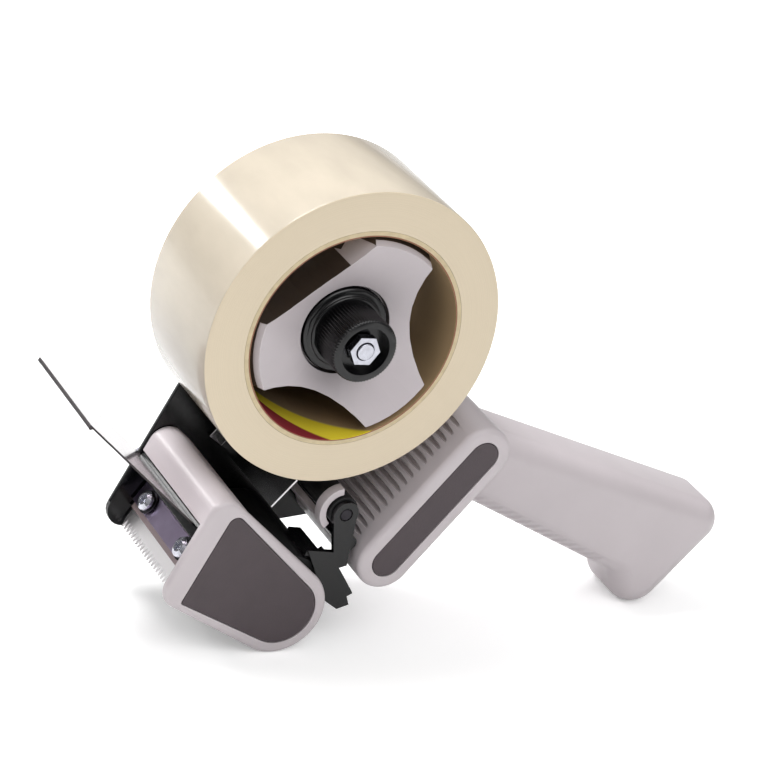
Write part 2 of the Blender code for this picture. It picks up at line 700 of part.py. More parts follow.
def applicator(parts, finishes):
    """The rubber covered roller in the head's lobe, on its steel axle."""
    near, axle_near = BRACKET_THICKNESS / 2 + GAP, FLANGE_INNER + GAP
    core_radius = APPLICATOR_RADIUS - TYRE_WALL
    bore = AXLE_RADIUS + RUN_GAP
    pocket = AXLE_RADIUS + GAP + AXLE_SOCKET_WALL + GAP
    pocket_far = FLANGE_INNER + AXLE_SOCKET_HEIGHT + GAP
    profile = [(bore, INNER_FAR), (core_radius, INNER_FAR), (core_radius, near), (pocket, near),
               (pocket, pocket_far), (bore, pocket_far)]
    turned("applicator_core", profile, parts, finishes["white plastic"], ring=True, centre=APPLICATOR)
    tube("applicator_tyre", core_radius + GAP, APPLICATOR_RADIUS, near, INNER_FAR, parts,
         finishes["rubber"], centre=APPLICATOR, steps=MEDIUM_STEPS)
    profile = [(0, HEAD_SEAT + AXLE_HEAD_HEIGHT), (AXLE_HEAD_RADIUS, HEAD_SEAT + AXLE_HEAD_HEIGHT),
               (AXLE_HEAD_RADIUS, HEAD_SEAT), (AXLE_RADIUS, HEAD_SEAT), (AXLE_RADIUS, axle_near),
               (0, axle_near)]
    turned("applicator_axle", profile, parts, finishes["steel"], centre=APPLICATOR)


def blade_unit(parts, finishes):
    """The toothed blade under its spacer and clamp bar, screwed to a holder bar in the head.

    Heights in its frame run from the clamp bar's outer face into the head.
    """
    place = {"centre": BLADE_ROOT, "turn": BLADE_ANGLE}
    near, far = FLANGE_INNER + BLADE_END_GAP, INNER_FAR - BLADE_END_GAP
    depths = [near + CLAMP_SCREW_INSET, far - CLAMP_SCREW_INSET]
    spacer_top = CLAMP_THICKNESS + GAP
    blade_top = spacer_top + SPACER_THICKNESS + GAP
    holder_top = blade_top + BLADE_THICKNESS + GAP

    def bar(name, reach, top, thickness, material, edge=()):
        outline = [(-BLADE_TAIL, near), (reach, near), *edge, (reach, far), (-BLADE_TAIL, far)]
        holes = [round_outline((0, depth), CLAMP_SCREW_RADIUS + GAP, SCREW_STEPS) for depth in depths]
        return plate(name, outline, top, top + thickness, parts, material, holes, flat=True, **place)

    bar("blade_clamp_bar", CLAMP_REACH, 0.0, CLAMP_THICKNESS, finishes["steel"])
    bar("blade_spacer", SPACER_REACH, spacer_top, SPACER_THICKNESS, finishes["brown strip"])
    bar("blade", BLADE_REACH - TOOTH_LENGTH, blade_top, BLADE_THICKNESS, finishes["steel"],
        teeth(near, far))
    holder = bar("blade_holder", HOLDER_REACH, holder_top, HOLDER_DEPTH, finishes["black steel"])
    pilot(holder, "blade_holder_screw")
    for number, depth in enumerate(depths, 1):
        outer = {"centre": in_frame(BLADE_ROOT, BLADE_ANGLE, 0, GAP), "at": depth,
                 "turn": BLADE_ANGLE + pi, "along_y": False}
        tube(f"blade_washer_{number}", CLAMP_SCREW_RADIUS + GAP, CLAMP_WASHER_RADIUS, 0,
             CLAMP_WASHER_THICKNESS, parts, finishes["dark steel"], **outer)
        outer["centre"] = in_frame(BLADE_ROOT, BLADE_ANGLE, 0, GAP + CLAMP_WASHER_THICKNESS + GAP)
        fixing = screw(f"blade_screw_{number}", CLAMP_SCREW_RADIUS, CLAMP_SCREW_LENGTH,
                       CLAMP_SCREW_HEAD_RADIUS, CLAMP_SCREW_HEAD_HEIGHT, parts, finishes["steel"],
                       steps=CROSS_HEAD_STEPS, **outer)
        outer.pop("along_y")
        cut(fixing, plate("cross_recess", cross_outline(CLAMP_SCREW_HEAD_RADIUS * CROSS_REACH_SHARE),
                          CLAMP_SCREW_HEAD_HEIGHT - CROSS_DEPTH, CLAMP_SCREW_HEAD_HEIGHT + CUT_OVERRUN,
                          TOOLS, None, flat=True, **outer))


def teeth(near, far):
    """The row of teeth along the blade's edge."""
    count = int((far - near) / TOOTH_PITCH)
    start = (near + far - count * TOOTH_PITCH) / 2
    base = BLADE_REACH - TOOTH_LENGTH
    points = [(base, start)]
    for n in range(count):
        points += [(BLADE_REACH, start + (n + HALF_SHARE) * TOOTH_PITCH),
                   (base, start + (n + 1) * TOOTH_PITCH)]
    return points


def cross_outline(reach):
    """A plus shaped outline for a screw's cross recess."""
    half = CROSS_WIDTH / 2
    tip = half * CROSS_TIP_SHARE
    quarter = [(reach, -tip), (reach, tip), (half, half)]
    points = []
    for turn in range(4):
        angle = turn * pi / 2
        points += [(x * cos(angle) - y * sin(angle), x * sin(angle) + y * cos(angle)) for x, y in quarter]
    return points


def flap(parts, finishes):
    """The thin springy flap with a bead under its tip, and the bar that clamps its root in the head."""
    place = {"centre": FLAP_ROOT, "turn": FLAP_ANGLE}
    half = FLAP_THICKNESS / 2
    far = INNER_FAR - FLAP_SIDE_GAP
    sheet = block("flap", (0, FLAP_NEAR, -half), (FLAP_LENGTH, far, half), parts,
                  finishes["pale sheet"], **place)
    centre = in_frame(FLAP_ROOT, FLAP_ANGLE, FLAP_LENGTH * FLAP_BEAD_SHARE, -half)
    fuse(sheet, rod("flap_bead", FLAP_BEAD_RADIUS, FLAP_NEAR, far, TOOLS, None, centre=centre,
                    steps=BEAD_STEPS))
    low = (-FLAP_CLAMP_GAP - FLAP_CLAMP_DEPTH, FLANGE_INNER + GAP, -FLAP_CLAMP_RISE)
    high = (-FLAP_CLAMP_GAP, INNER_FAR, FLAP_CLAMP_THICKNESS - FLAP_CLAMP_RISE)
    clamp = block("flap_clamp_bar", low, high, parts, finishes["black steel"], **place)
    pilot(clamp, "flap_clamp_screw")


def rear_body(parts, finishes):
    """The light grey tub behind the reel, with grooves across its roll side and a long label."""
    ends = [(*REAR_LOW_END, REAR_RADIUS), (*REAR_HIGH_END, REAR_RADIUS)]
    floor = REAR_WALL - HEAD_WIDTH_NEAR
    body = rounded_prism("rear_body", ends, -HEAD_WIDTH_NEAR, INNER_FAR, parts,
                         finishes["light grey plastic"], near_round=EDGE_ROUND)
    cut(body, plate("rear_hollow", belt(ends, REAR_WALL), floor, INNER_FAR + CUT_OVERRUN, TOOLS, None))
    for fixing in ("rear_screw_low", "rear_screw_high"):
        fuse(body, rod("rear_post", REAR_POST_RADIUS, floor - REAR_WALL / 2, INNER_FAR, TOOLS, None,
                       centre=FRAME_SCREWS[fixing][0]))
        pilot(body, fixing)
    for centre in HANDLE_SCREW_PLACES:
        hole = {"centre": centre, "at": HANDLE_MIDDLE, "turn": REAR_ANGLE, "along_y": False}
        cut(body, rod("handle_screw_way", SCREW_RADIUS + GAP, -REAR_WALL - CUT_OVERRUN, GAP, TOOLS, None,
                      steps=SCREW_STEPS, **hole))
    cut(body, rear_grooves())
    inner = [(*REAR_LOW_END, REAR_LABEL_RADIUS), (*REAR_HIGH_END, REAR_LABEL_RADIUS)]
    cut(body, plate("rear_label_seat", belt(inner, -GAP), -HEAD_WIDTH_NEAR - CUT_OVERRUN,
                    REAR_LABEL_DEPTH + GAP - HEAD_WIDTH_NEAR, TOOLS, None))
    plate("rear_label", belt(inner), -HEAD_WIDTH_NEAR, REAR_LABEL_DEPTH - HEAD_WIDTH_NEAR, parts,
          finishes["dark label"])


def rear_grooves():
    """The cutter for the grooves across the bar's roll side, which stop short of its near flange."""
    near, far = GROOVE_SIDE - HEAD_WIDTH_NEAR, INNER_FAR + CUT_OVERRUN
    low, high = -REAR_FACE - GROOVE_DEPTH, -REAR_FACE + CUT_OVERRUN

    def build(shape):
        for n in range(GROOVE_COUNT):
            along = (REAR_LOW + REAR_HIGH) / 2 + GROOVE_PITCH * (n - (GROOVE_COUNT - 1) / 2)
            made = bmesh.ops.create_cube(shape, size=1.0)["verts"]
            bmesh.ops.scale(shape, verts=made, vec=(GROOVE_WIDTH, far - near, high - low))
            bmesh.ops.translate(shape, verts=made, vec=(along, (near + far) / 2, (low + high) / 2))
    return seat(mesh_object("rear_grooves", build), TOOLS, None, turn=REAR_ANGLE)


def handle(parts, finishes):
    """The grip, whose root fits against the rear body, with finger grooves along its lower edge."""
    root_top = handle_point(HANDLE_ROOT_ALONG, HANDLE_ROOT_RADIUS - HANDLE_TOP)
    root_low = handle_point(HANDLE_ROOT_LOW_ALONG, HANDLE_ROOT_LOW_DROP)
    corner = handle_point(HANDLE_CORNER_ALONG, HANDLE_CORNER_RADIUS - HANDLE_TOP)
    hook = handle_point(HANDLE_HOOK_ALONG, HANDLE_HOOK_DROP)
    low, bend = (*root_low, HANDLE_ROOT_RADIUS), (*hook, -HANDLE_HOOK_RADIUS)
    circles = [low, bend, (*HANDLE_LOBE, HANDLE_LOBE_RADIUS), (*corner, HANDLE_CORNER_RADIUS),
               (*root_top, HANDLE_ROOT_RADIUS)]
    far = HANDLE_NEAR + HANDLE_THICKNESS
    grip = rounded_prism("handle", circles, HANDLE_NEAR, far, parts, finishes["light grey plastic"],
                         near_round=HANDLE_ROUND, far_round=HANDLE_ROUND)
    ends = [(*REAR_LOW_END, REAR_RADIUS), (*REAR_HIGH_END, REAR_RADIUS)]
    cut(grip, plate("handle_root_seat", belt(ends, -GAP), HANDLE_NEAR - CUT_OVERRUN, far + CUT_OVERRUN,
                    TOOLS, None))
    cut(grip, finger_grooves(low, bend))
    for number, centre in enumerate(HANDLE_SCREW_PLACES, 1):
        hole = {"centre": centre, "at": HANDLE_MIDDLE, "turn": REAR_ANGLE, "along_y": False}
        cut(grip, rod("handle_pilot", SCREW_RADIUS + GAP, -HANDLE_SCREW_LENGTH - GAP, GAP, TOOLS, None,
                      steps=SCREW_STEPS, **hole))
        screw(f"handle_screw_{number}", SCREW_RADIUS, HANDLE_SCREW_LENGTH, SCREW_HEAD_RADIUS,
              SCREW_HEAD_HEIGHT, parts, finishes["steel"], steps=SCREW_STEPS, **hole)


def finger_grooves(low, bend):
    """Short round grooves across the rounded near edge of the handle's lower line."""
    normal = edge_normal(low, bend)
    start = Vector(((low[0], 0, low[1]))) + Vector((cos(normal), 0, sin(normal))) * (low[2] - HANDLE_ROUND)
    along = Vector((cos(normal + pi / 2), 0, sin(normal + pi / 2)))
    down, near = Vector((cos(normal), 0, sin(normal))), Vector((0, -1, 0))
    outward, axis = (down + near).normalized(), (down - near).normalized()
    reach = HANDLE_ROUND + FINGER_GROOVE_RADIUS - FINGER_GROOVE_DEPTH

    def build(shape):
        for n in range(FINGER_GROOVE_COUNT):
            centre = (start + along * (FINGER_GROOVE_START + n * FINGER_GROOVE_PITCH) + outward * reach
                      + Vector((0, HANDLE_NEAR + HANDLE_ROUND, 0)))
            made = bmesh.ops.create_cone(shape, cap_ends=True, segments=BEAD_STEPS,
                                         depth=FINGER_GROOVE_LENGTH, radius1=FINGER_GROOVE_RADIUS,
                                         radius2=FINGER_GROOVE_RADIUS)["verts"]
            bmesh.ops.rotate(shape, verts=made, matrix=axis.to_track_quat("Z", "Y").to_matrix())
            bmesh.ops.translate(shape, verts=made, vec=centre)
    return seat(mesh_object("finger_grooves", build), TOOLS, None)


def tension_roller(parts, finishes):
    """The small black roller, its axle, and the curved guide round its head side."""
    disc_near = INNER_FAR - TENSION_DISC_THICKNESS
    roller_near = BRACKET_THICKNESS / 2 + GAP
    bore = TENSION_AXLE_RADIUS + RUN_GAP
    tube("tension_roller", bore, TENSION_RADIUS, roller_near, disc_near - GAP, parts, finishes["rubber"],
         centre=TENSION)
    top = HEAD_SEAT + TENSION_HEAD_HEIGHT
    profile = [(0, top), (TENSION_HEAD_RADIUS, top), (TENSION_HEAD_RADIUS, HEAD_SEAT),
               (TENSION_AXLE_RADIUS, HEAD_SEAT), (TENSION_AXLE_RADIUS, -BRACKET_THICKNESS / 2),
               (0, -BRACKET_THICKNESS / 2)]
    turned("tension_axle", profile, parts, finishes["steel"], centre=TENSION, steps=SCREW_STEPS)
    outer = arc(TENSION, TAPE_GUIDE_BORE + TAPE_GUIDE_WALL, TAPE_GUIDE_START, TAPE_GUIDE_SWEEP)
    inner = arc(TENSION, TAPE_GUIDE_BORE, TAPE_GUIDE_START, TAPE_GUIDE_SWEEP)
    guide = plate("tape_guide", outer + inner[::-1], TAPE_GUIDE_NEAR, INNER_FAR, parts,
                  finishes["light grey plastic"])
    window = [arc(TENSION, radius, TAPE_GUIDE_START - TAPE_GUIDE_RIB, TAPE_GUIDE_SWEEP)
              for radius in (TAPE_GUIDE_BORE + TAPE_GUIDE_WALL + CUT_OVERRUN, TENSION_RADIUS)]
    cut(guide, plate("tape_guide_window", window[0] + window[1][::-1], TAPE_GUIDE_NEAR + TAPE_GUIDE_EAR,
                     disc_near, TOOLS, None))
    fuse(guide, rod("tape_guide_disc", TAPE_GUIDE_DISC, disc_near, INNER_FAR, TOOLS, None, centre=TENSION))
    fuse(guide, rod("tape_guide_lug", GUIDE_LUG_RADIUS, disc_near, PLATE_FAR, TOOLS, None, centre=GUIDE_LUG,
                    steps=SCREW_STEPS))
    drill(guide, TENSION, TENSION_AXLE_RADIUS + GAP, disc_near - GAP, INNER_FAR + CUT_OVERRUN,
          steps=SCREW_STEPS)


def guide_bracket(parts, finishes):
    """The folded black bracket: a web with a ring for the axle, two flanges and a fixing rod."""
    half = BRACKET_THICKNESS / 2
    ring = arc(TENSION, TENSION_AXLE_RADIUS + BRACKET_RING_WALL, -RING_OVERLAP, pi + 2 * RING_OVERLAP)
    steps = [(SADDLE_SHIFT, SADDLE_DROP), (TOP_SHIFT, TOP_DROP), (SIDE_SHIFT, SIDE_DROP),
             (HEEL_SHIFT, HEEL_DROP), (TOE_SHIFT, TOE_DROP), (TIP_SHIFT, TIP_DROP), (NICK_SHIFT, NICK_DROP),
             (SPUR_SHIFT, SPUR_DROP), (NOTCH_BACK_SHIFT, NOTCH_BACK_DROP), (TAIL_SHIFT, TAIL_DROP)]
    corners = [TENSION]
    for shift, drop in steps:
        corners.append((corners[-1][0] + shift, corners[-1][1] - drop))
    _, _, top, _, _, _, _, _, spur, notch, _ = corners
    web = plate("guide_bracket", corners[1:] + ring, -half, half, parts, finishes["black plastic"])
    fuse(web, rod("bracket_rod", BRACKET_ROD_RADIUS, 0, INNER_FAR, TOOLS, None, centre=BRACKET_ROD))
    inset = BRACKET_THICKNESS * FOOT_INSET_SHARE
    fuse(web, block("bracket_bar", (inset, 0, -inset - BRACKET_BAR_THICKNESS),
                    (inset + BRACKET_BAR_WIDTH, BRACKET_BAR_DEPTH, -inset), TOOLS, None, centre=top,
                    turn=atan2(-TOP_DROP, TOP_SHIFT) + pi))
    fuse(web, block("bracket_foot", (0, 0, inset - BRACKET_THICKNESS),
                    (hypot(spur[0] - notch[0], spur[1] - notch[1]), BRACKET_FOOT_DEPTH, inset),
                    TOOLS, None, centre=notch, turn=atan2(spur[1] - notch[1], spur[0] - notch[0])))
    drill(web, TENSION, TENSION_AXLE_RADIUS + GAP, -half - CUT_OVERRUN, half + CUT_OVERRUN,
          steps=SCREW_STEPS)
    pilot(web, "bracket_screw")


def guide_strip(parts, finishes):
    """The black sheet strip between head and roll, with a tab on the side plate."""
    place = {"centre": STRIP_ROOT, "turn": STRIP_ANGLE}
    half = STRIP_THICKNESS / 2
    sheet = block("guide_strip", (0, STRIP_NEAR, -half), (STRIP_REACH, INNER_FAR, half), parts,
                  finishes["black steel"], **place)
    fuse(sheet, block("strip_tab", (0, INNER_FAR - STRIP_TAB_THICKNESS, 0),
                      (STRIP_TAB_LENGTH, INNER_FAR, STRIP_TAB_WIDTH), TOOLS, None, **place))
    drill(sheet, STRIP_SCREW, SCREW_RADIUS + GAP, INNER_FAR - STRIP_TAB_THICKNESS - CUT_OVERRUN,
          INNER_FAR + CUT_OVERRUN, steps=SCREW_STEPS)


def hub(parts, finishes):
    """The dished hub: three lobes left between round scallops, a flange and a bearing tube."""
    ring_depth = DISH_FLOOR - HUB_RING_DEPTH
    slope = (ring_depth + HUB_FACE_PROUD) / (HUB_FACE_RADIUS - DISH_RADIUS)
    tube_radius = HUB_BORE_RADIUS + HUB_TUBE_WALL
    wall_inner = HUB_RADIUS - HUB_WALL
    web_back = DISH_FLOOR + HUB_WALL
    flange_near = TAPE_WIDTH + GAP
    body_far = flange_near + HUB_FLANGE_THICKNESS / 2
    profile = [(HUB_BORE_RADIUS, body_far), (HUB_RADIUS, body_far),
               (HUB_RADIUS, HUB_TAPER - HUB_FACE_PROUD), (HUB_FACE_RADIUS, -HUB_FACE_PROUD),
               (DISH_RADIUS, ring_depth), (DISH_RADIUS, DISH_FLOOR), (HUB_BORE_RADIUS, DISH_FLOOR)]
    body = turned("hub", profile, parts, finishes["light grey plastic"], steps=LARGE_STEPS, ring=True)
    web_outer = HUB_WALL - HUB_FACE_PROUD + slope * (HUB_FACE_RADIUS - wall_inner)
    hollow_profile = [(tube_radius, TAPE_WIDTH + CUT_OVERRUN), (wall_inner, TAPE_WIDTH + CUT_OVERRUN),
                      (wall_inner, web_outer + HUB_WALL), (DISH_RADIUS + HUB_WALL, web_back),
                      (tube_radius, web_back)]
    hollow = turned("hub_hollow", hollow_profile, TOOLS, None, steps=LARGE_STEPS, ring=True)
    reach = SCALLOP_WAIST + SCALLOP_RADIUS
    for number in range(SCALLOP_COUNT):
        centre = direction(SCALLOP_TURN + tau * number / SCALLOP_COUNT, reach)
        cut(hollow, rod("scallop_wall", SCALLOP_RADIUS + HUB_WALL, -CUT_OVERRUN,
                        TAPE_WIDTH + CUT_OVERRUN * 2, TOOLS, None, centre=centre, steps=LARGE_STEPS))
    cut(body, hollow)
    for number in range(SCALLOP_COUNT):
        centre = direction(SCALLOP_TURN + tau * number / SCALLOP_COUNT, reach)
        cut(body, rod("scallop", SCALLOP_RADIUS, -HUB_FACE_PROUD - CUT_OVERRUN, TAPE_WIDTH + CUT_OVERRUN,
                      TOOLS, None, centre=centre, steps=LARGE_STEPS))
    fuse(body, tube("hub_flange", wall_inner, CORE_RADIUS + HUB_FLANGE_REACH, flange_near,
                    flange_near + HUB_FLANGE_THICKNESS, TOOLS, None, steps=LARGE_STEPS))


def reel(parts, finishes):
    """The hub with the cardboard core on it and the roll of tape on that."""
    hub(parts, finishes)
    tube("core", CORE_BORE_RADIUS, CORE_RADIUS, 0, TAPE_WIDTH, parts, finishes["cardboard"],
         steps=LARGE_STEPS)
    tube("tape_roll", CORE_RADIUS + GAP, ROLL_RADIUS, 0, TAPE_WIDTH, parts, finishes["clear tape"],
         steps=LARGE_STEPS)


def brake(parts, finishes):
    """The shaft on the reel axis, and the washers, spring and nuts that press on the hub."""
    felt_far = DISH_FLOOR - GAP
    washer_far = felt_far - FELT_THICKNESS - GAP
    sleeve_near = washer_far - WASHER_THICKNESS - GAP
    cup_near = KNOB_WEB_NEAR + KNOB_WEB + GAP
    bore = SLEEVE_RADIUS + GAP
    tube("friction_washer", bore, WASHER_RADIUS, felt_far - FELT_THICKNESS, felt_far, parts,
         finishes["felt"])
    tube("pressure_washer", bore, WASHER_RADIUS, washer_far - WASHER_THICKNESS, washer_far, parts,
         finishes["steel"])
    tube("spring_cup", BOLT_RADIUS + GAP, WASHER_RADIUS, cup_near, cup_near + WASHER_THICKNESS, parts,
         finishes["steel"])
    brake_spring(cup_near + WASHER_THICKNESS + GAP, sleeve_near, parts, finishes["steel"])
    tube("bolt_sleeve", BOLT_RADIUS + GAP, SLEEVE_RADIUS, sleeve_near, INNER_FAR, parts, finishes["steel"])
    hexagon("jam_nut", NUT_FLATS, sleeve_near - GAP - JAM_NUT_HEIGHT, sleeve_near - GAP, parts,
            finishes["steel"], BOLT_RADIUS + GAP)
    hexagon("lock_nut", NUT_FLATS, NUT_FAR - NUT_HEIGHT, NUT_FAR, parts, finishes["steel"],
            BOLT_RADIUS + GAP)
    bolt = hexagon("hub_bolt", BOLT_HEAD_FLATS, HEAD_SEAT, HEAD_SEAT + BOLT_HEAD_HEIGHT, parts,
                   finishes["steel"])
    fuse(bolt, rod("hub_bolt_shaft", BOLT_RADIUS, BOLT_END, HEAD_SEAT + BOLT_HEAD_HEIGHT / 2, TOOLS, None))


def brake_spring(near, far, parts, material):
    """The coil spring between the knob's cup and the pressure washer."""
    low, high = near + SPRING_WIRE_RADIUS, far - SPRING_WIRE_RADIUS
    count = SPRING_TURNS * SPRING_POINTS_PER_TURN
    points = []
    for n in range(count + 1):
        x, z = direction(tau * n / SPRING_POINTS_PER_TURN, SPRING_RADIUS)
        points.append(Vector((x, low + (high - low) * n / count, z)))
    gaps = [(a - b).length for n, a in enumerate(points) for b in points[n + SPRING_POINTS_PER_TURN // 2:]]
    print(f"least gap of the spring's wire to itself: {(min(gaps) - 2 * SPRING_WIRE_RADIUS):.5f} m")
    curve = bpy.data.curves.new("brake_spring", "CURVE")
    curve.dimensions = "3D"
    curve.bevel_depth = SPRING_WIRE_RADIUS
    curve.bevel_resolution = 1
    curve.use_fill_caps = True
    spline = curve.splines.new("POLY")
    spline.points.add(count)
    for point, place in zip(spline.points, points):
        point.co = (*place, 1)
    seat(bpy.data.objects.new("brake_spring", curve), parts, material)


def knob(parts, finishes):
    """The knurled brake knob, a cup open to the hub with a recess for the lock nut."""
    far = DISH_FLOOR - KNOB_TRAVEL - GAP
    step_far = far - KNOB_BASE_THICKNESS
    grip_far = step_far - KNOB_STEP_HEIGHT
    base = [(0, far), (KNOB_BASE_RADIUS, far), (KNOB_BASE_RADIUS, step_far), (KNOB_STEP_RADIUS, step_far),
            (KNOB_STEP_RADIUS, grip_far), (0, grip_far)]
    grip = loft("knob", [(knurled(KNOB_GRIP_RADIUS - KNOB_CHAMFER, 0), -KNOB_FRONT),
                         (knurled(KNOB_GRIP_RADIUS, KNURL_DEPTH), KNOB_CHAMFER - KNOB_FRONT),
                         (knurled(KNOB_GRIP_RADIUS, KNURL_DEPTH), step_far)], parts,
                finishes["black plastic"])
    fuse(grip, turned("knob_base", base, TOOLS, None, steps=MEDIUM_STEPS))
    drill(grip, (0, 0), KNOB_CAVITY_RADIUS, KNOB_WEB_NEAR + KNOB_WEB, far + CUT_OVERRUN)
    drill(grip, (0, 0), KNOB_RECESS_RADIUS, -KNOB_FRONT - CUT_OVERRUN, KNOB_WEB_NEAR)
    drill(grip, (0, 0), BOLT_RADIUS + GAP, -KNOB_FRONT - CUT_OVERRUN, far + CUT_OVERRUN)


def knurled(radius, depth):
    """A round outline whose points dip by a depth between the knurls' crests."""
    count = KNOB_KNURLS * len(KNURL_SHARES)
    points = []
    for n in range(count):
        points.append(direction(tau * n / count, radius - depth * KNURL_SHARES[n % len(KNURL_SHARES)]))
    return points


def screws(parts, finishes):
    """The screws that hold the head, the bars, the bodies and the bracket to the side plate."""
    for name, (centre, length) in FRAME_SCREWS.items():
        screw(name, SCREW_RADIUS, length, SCREW_HEAD_RADIUS, SCREW_HEAD_HEIGHT, parts, finishes["steel"],
              centre=centre, at=HEAD_SEAT, steps=SCREW_STEPS)


def stand():
    """The empty that leans the side view onto the ground and centres the whole object over it."""
    across = (HANDLE_LOBE[0] - LOBE[0], HANDLE_LOBE[1] - LOBE[1])
    lean = asin((HANDLE_LOBE_RADIUS - LOBE_RADIUS) / hypot(*across)) - atan2(across[1], across[0])
    corner = handle_point(HANDLE_CORNER_ALONG, HANDLE_CORNER_RADIUS - HANDLE_TOP)
    tip = in_frame(FLAP_ROOT, FLAP_ANGLE, FLAP_LENGTH, -FLAP_THICKNESS / 2)
    bead = in_frame(FLAP_ROOT, FLAP_ANGLE, FLAP_LENGTH * FLAP_BEAD_SHARE, -FLAP_THICKNESS / 2)

    def leaned(point):
        return (point[0] * cos(lean) - point[1] * sin(lean), point[0] * sin(lean) + point[1] * cos(lean))

    left = min(leaned(tip)[0], leaned(bead)[0] - FLAP_BEAD_RADIUS)
    right = max(leaned(corner)[0] + HANDLE_CORNER_RADIUS, leaned(HANDLE_LOBE)[0] + HANDLE_LOBE_RADIUS)
    far = HEAD_SEAT + BOLT_HEAD_HEIGHT
    empty = bpy.data.objects.new("stand", None)
    empty.location = (-(left + right) / 2, -(BOLT_END + far) / 2, LOBE_RADIUS - leaned(LOBE)[1])
    empty.rotation_euler = (0, -lean, 0)
    return empty


def all_finishes():
    """Every material of the object, by a plain name."""
    table = {
        "light grey plastic": ((0.60, 0.56, 0.56), 0.45, 0.0),
        "white plastic": ((0.80, 0.79, 0.76), 0.40, 0.0),
        "black plastic": ((0.012, 0.012, 0.014), 0.35, 0.0),
        "black steel": ((0.010, 0.010, 0.012), 0.25, 0.3),
        "dark steel": ((0.08, 0.075, 0.075), 0.35, 0.9),
        "steel": ((0.66, 0.65, 0.66), 0.22, 1.0),
        "dark label": ((0.085, 0.070, 0.070), 0.55, 0.0),
        "brown strip": ((0.16, 0.12, 0.11), 0.60, 0.0),
        "pale sheet": ((0.80, 0.76, 0.72), 0.35, 0.0),
        "rubber": ((0.014, 0.014, 0.014), 0.60, 0.0),
        "cardboard": ((0.34, 0.22, 0.12), 0.85, 0.0),
        "clear tape": ((0.72, 0.66, 0.48), 0.20, 0.0),
        "felt": ((0.30, 0.05, 0.04), 0.90, 0.0),
    }
    return {name: finish(name, *values) for name, values in table.items()}


def build_dispenser():
    """Builds every piece of the dispenser in the parts collection."""
    finishes = all_finishes()
    for make in (side_plate, head_shell, applicator, blade_unit, flap, rear_body, handle, tension_roller,
                 guide_bracket, guide_strip, reel, brake, knob, screws):
        make(PARTS, finishes)


clear_scene()
PARTS = collection("packing_tape_dispenser")
TOOLS = collection("cutters")
STAND = stand()
PARTS.objects.link(STAND)
build_dispenser()
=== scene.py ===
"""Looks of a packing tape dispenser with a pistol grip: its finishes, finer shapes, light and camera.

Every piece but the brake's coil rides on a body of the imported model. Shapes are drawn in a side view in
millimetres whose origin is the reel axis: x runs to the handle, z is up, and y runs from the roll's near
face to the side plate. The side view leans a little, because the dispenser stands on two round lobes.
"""

import logging
import math
from collections.abc import Callable, Sequence
from dataclasses import dataclass
from enum import Enum

import bmesh
import bpy
from mathutils import Matrix, Vector


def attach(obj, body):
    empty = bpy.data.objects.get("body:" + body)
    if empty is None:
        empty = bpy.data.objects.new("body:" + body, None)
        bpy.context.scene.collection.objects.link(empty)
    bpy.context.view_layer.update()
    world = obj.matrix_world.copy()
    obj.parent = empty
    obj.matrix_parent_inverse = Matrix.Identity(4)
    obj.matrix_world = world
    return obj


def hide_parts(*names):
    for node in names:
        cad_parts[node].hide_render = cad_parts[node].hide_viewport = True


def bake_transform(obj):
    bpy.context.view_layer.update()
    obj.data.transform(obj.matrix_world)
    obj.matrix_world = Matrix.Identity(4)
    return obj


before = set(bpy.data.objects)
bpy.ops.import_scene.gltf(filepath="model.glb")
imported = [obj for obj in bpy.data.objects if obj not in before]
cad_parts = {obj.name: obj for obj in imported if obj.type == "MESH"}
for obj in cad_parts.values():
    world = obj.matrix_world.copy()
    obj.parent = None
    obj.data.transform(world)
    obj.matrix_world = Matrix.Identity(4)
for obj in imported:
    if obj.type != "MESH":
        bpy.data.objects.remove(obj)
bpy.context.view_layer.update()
log = logging.getLogger("tape_dispenser")
MM = 0.001  # metres
PICTURE_SIDE = 768  # picture elements
WELD = 0.005  # points as near as this to each other, in millimetres, are one
OVERRUN = 4.0  # how far a cutter stands out of what it cuts, in millimetres
ROUND_STEP = math.radians(4.0)  # the largest angle between points of a bend
SHARP_ANGLE = math.radians(40.0)  # faces that meet at more than this have a clear edge
SEAM_ANGLE = math.radians(3.0)  # faces that meet at less than this are one flat face

Point = tuple[float, float]
Circle = tuple[float, float, float]
Triple = tuple[float, float, float]
Outline = list[Point]
Stops = tuple[tuple[float, float], ...]
Colour = tuple[float, float, float, float]
Shape = bmesh.types.BMesh
Thing = bpy.types.Object
Tree = bpy.types.NodeTree
Node = bpy.types.Node
Socket = bpy.types.NodeSocket
Builder = Callable[[Shape], None]

WHITE: Colour = (1.0, 1.0, 1.0, 1.0)


class Body(Enum):
    """The rigid bodies that the new pieces ride on."""

    FRAME = "frame"
    REEL = "reel"
    KNOB = "knob"
    CUP = "spring_cup"
    FLAP = "flap"


class Joinery(Enum):
    """What a Boolean does with its tool."""

    CUT = "DIFFERENCE"
    WELD = "UNION"


def linear(hex_colour: str) -> Colour:
    """Turns an sRGB hex colour into a linear one with full alpha.

    Args:
        hex_colour: Six hex digits after a hash sign.

    Returns:
        The linear red, green, blue and alpha.
    """
    shares = [int(hex_colour[n:n + 2], 16) / 255 for n in (1, 3, 5)]
    red, green, blue = (s / 12.92 if s <= 0.04045 else ((s + 0.055) / 1.055) ** 2.4 for s in shares)
    return red, green, blue, 1.0


def shade(hex_colour: str, share: float) -> Colour:
    """A colour made lighter or darker by a share of itself."""
    red, green, blue, alpha = linear(hex_colour)
    return red * share, green * share, blue * share, alpha


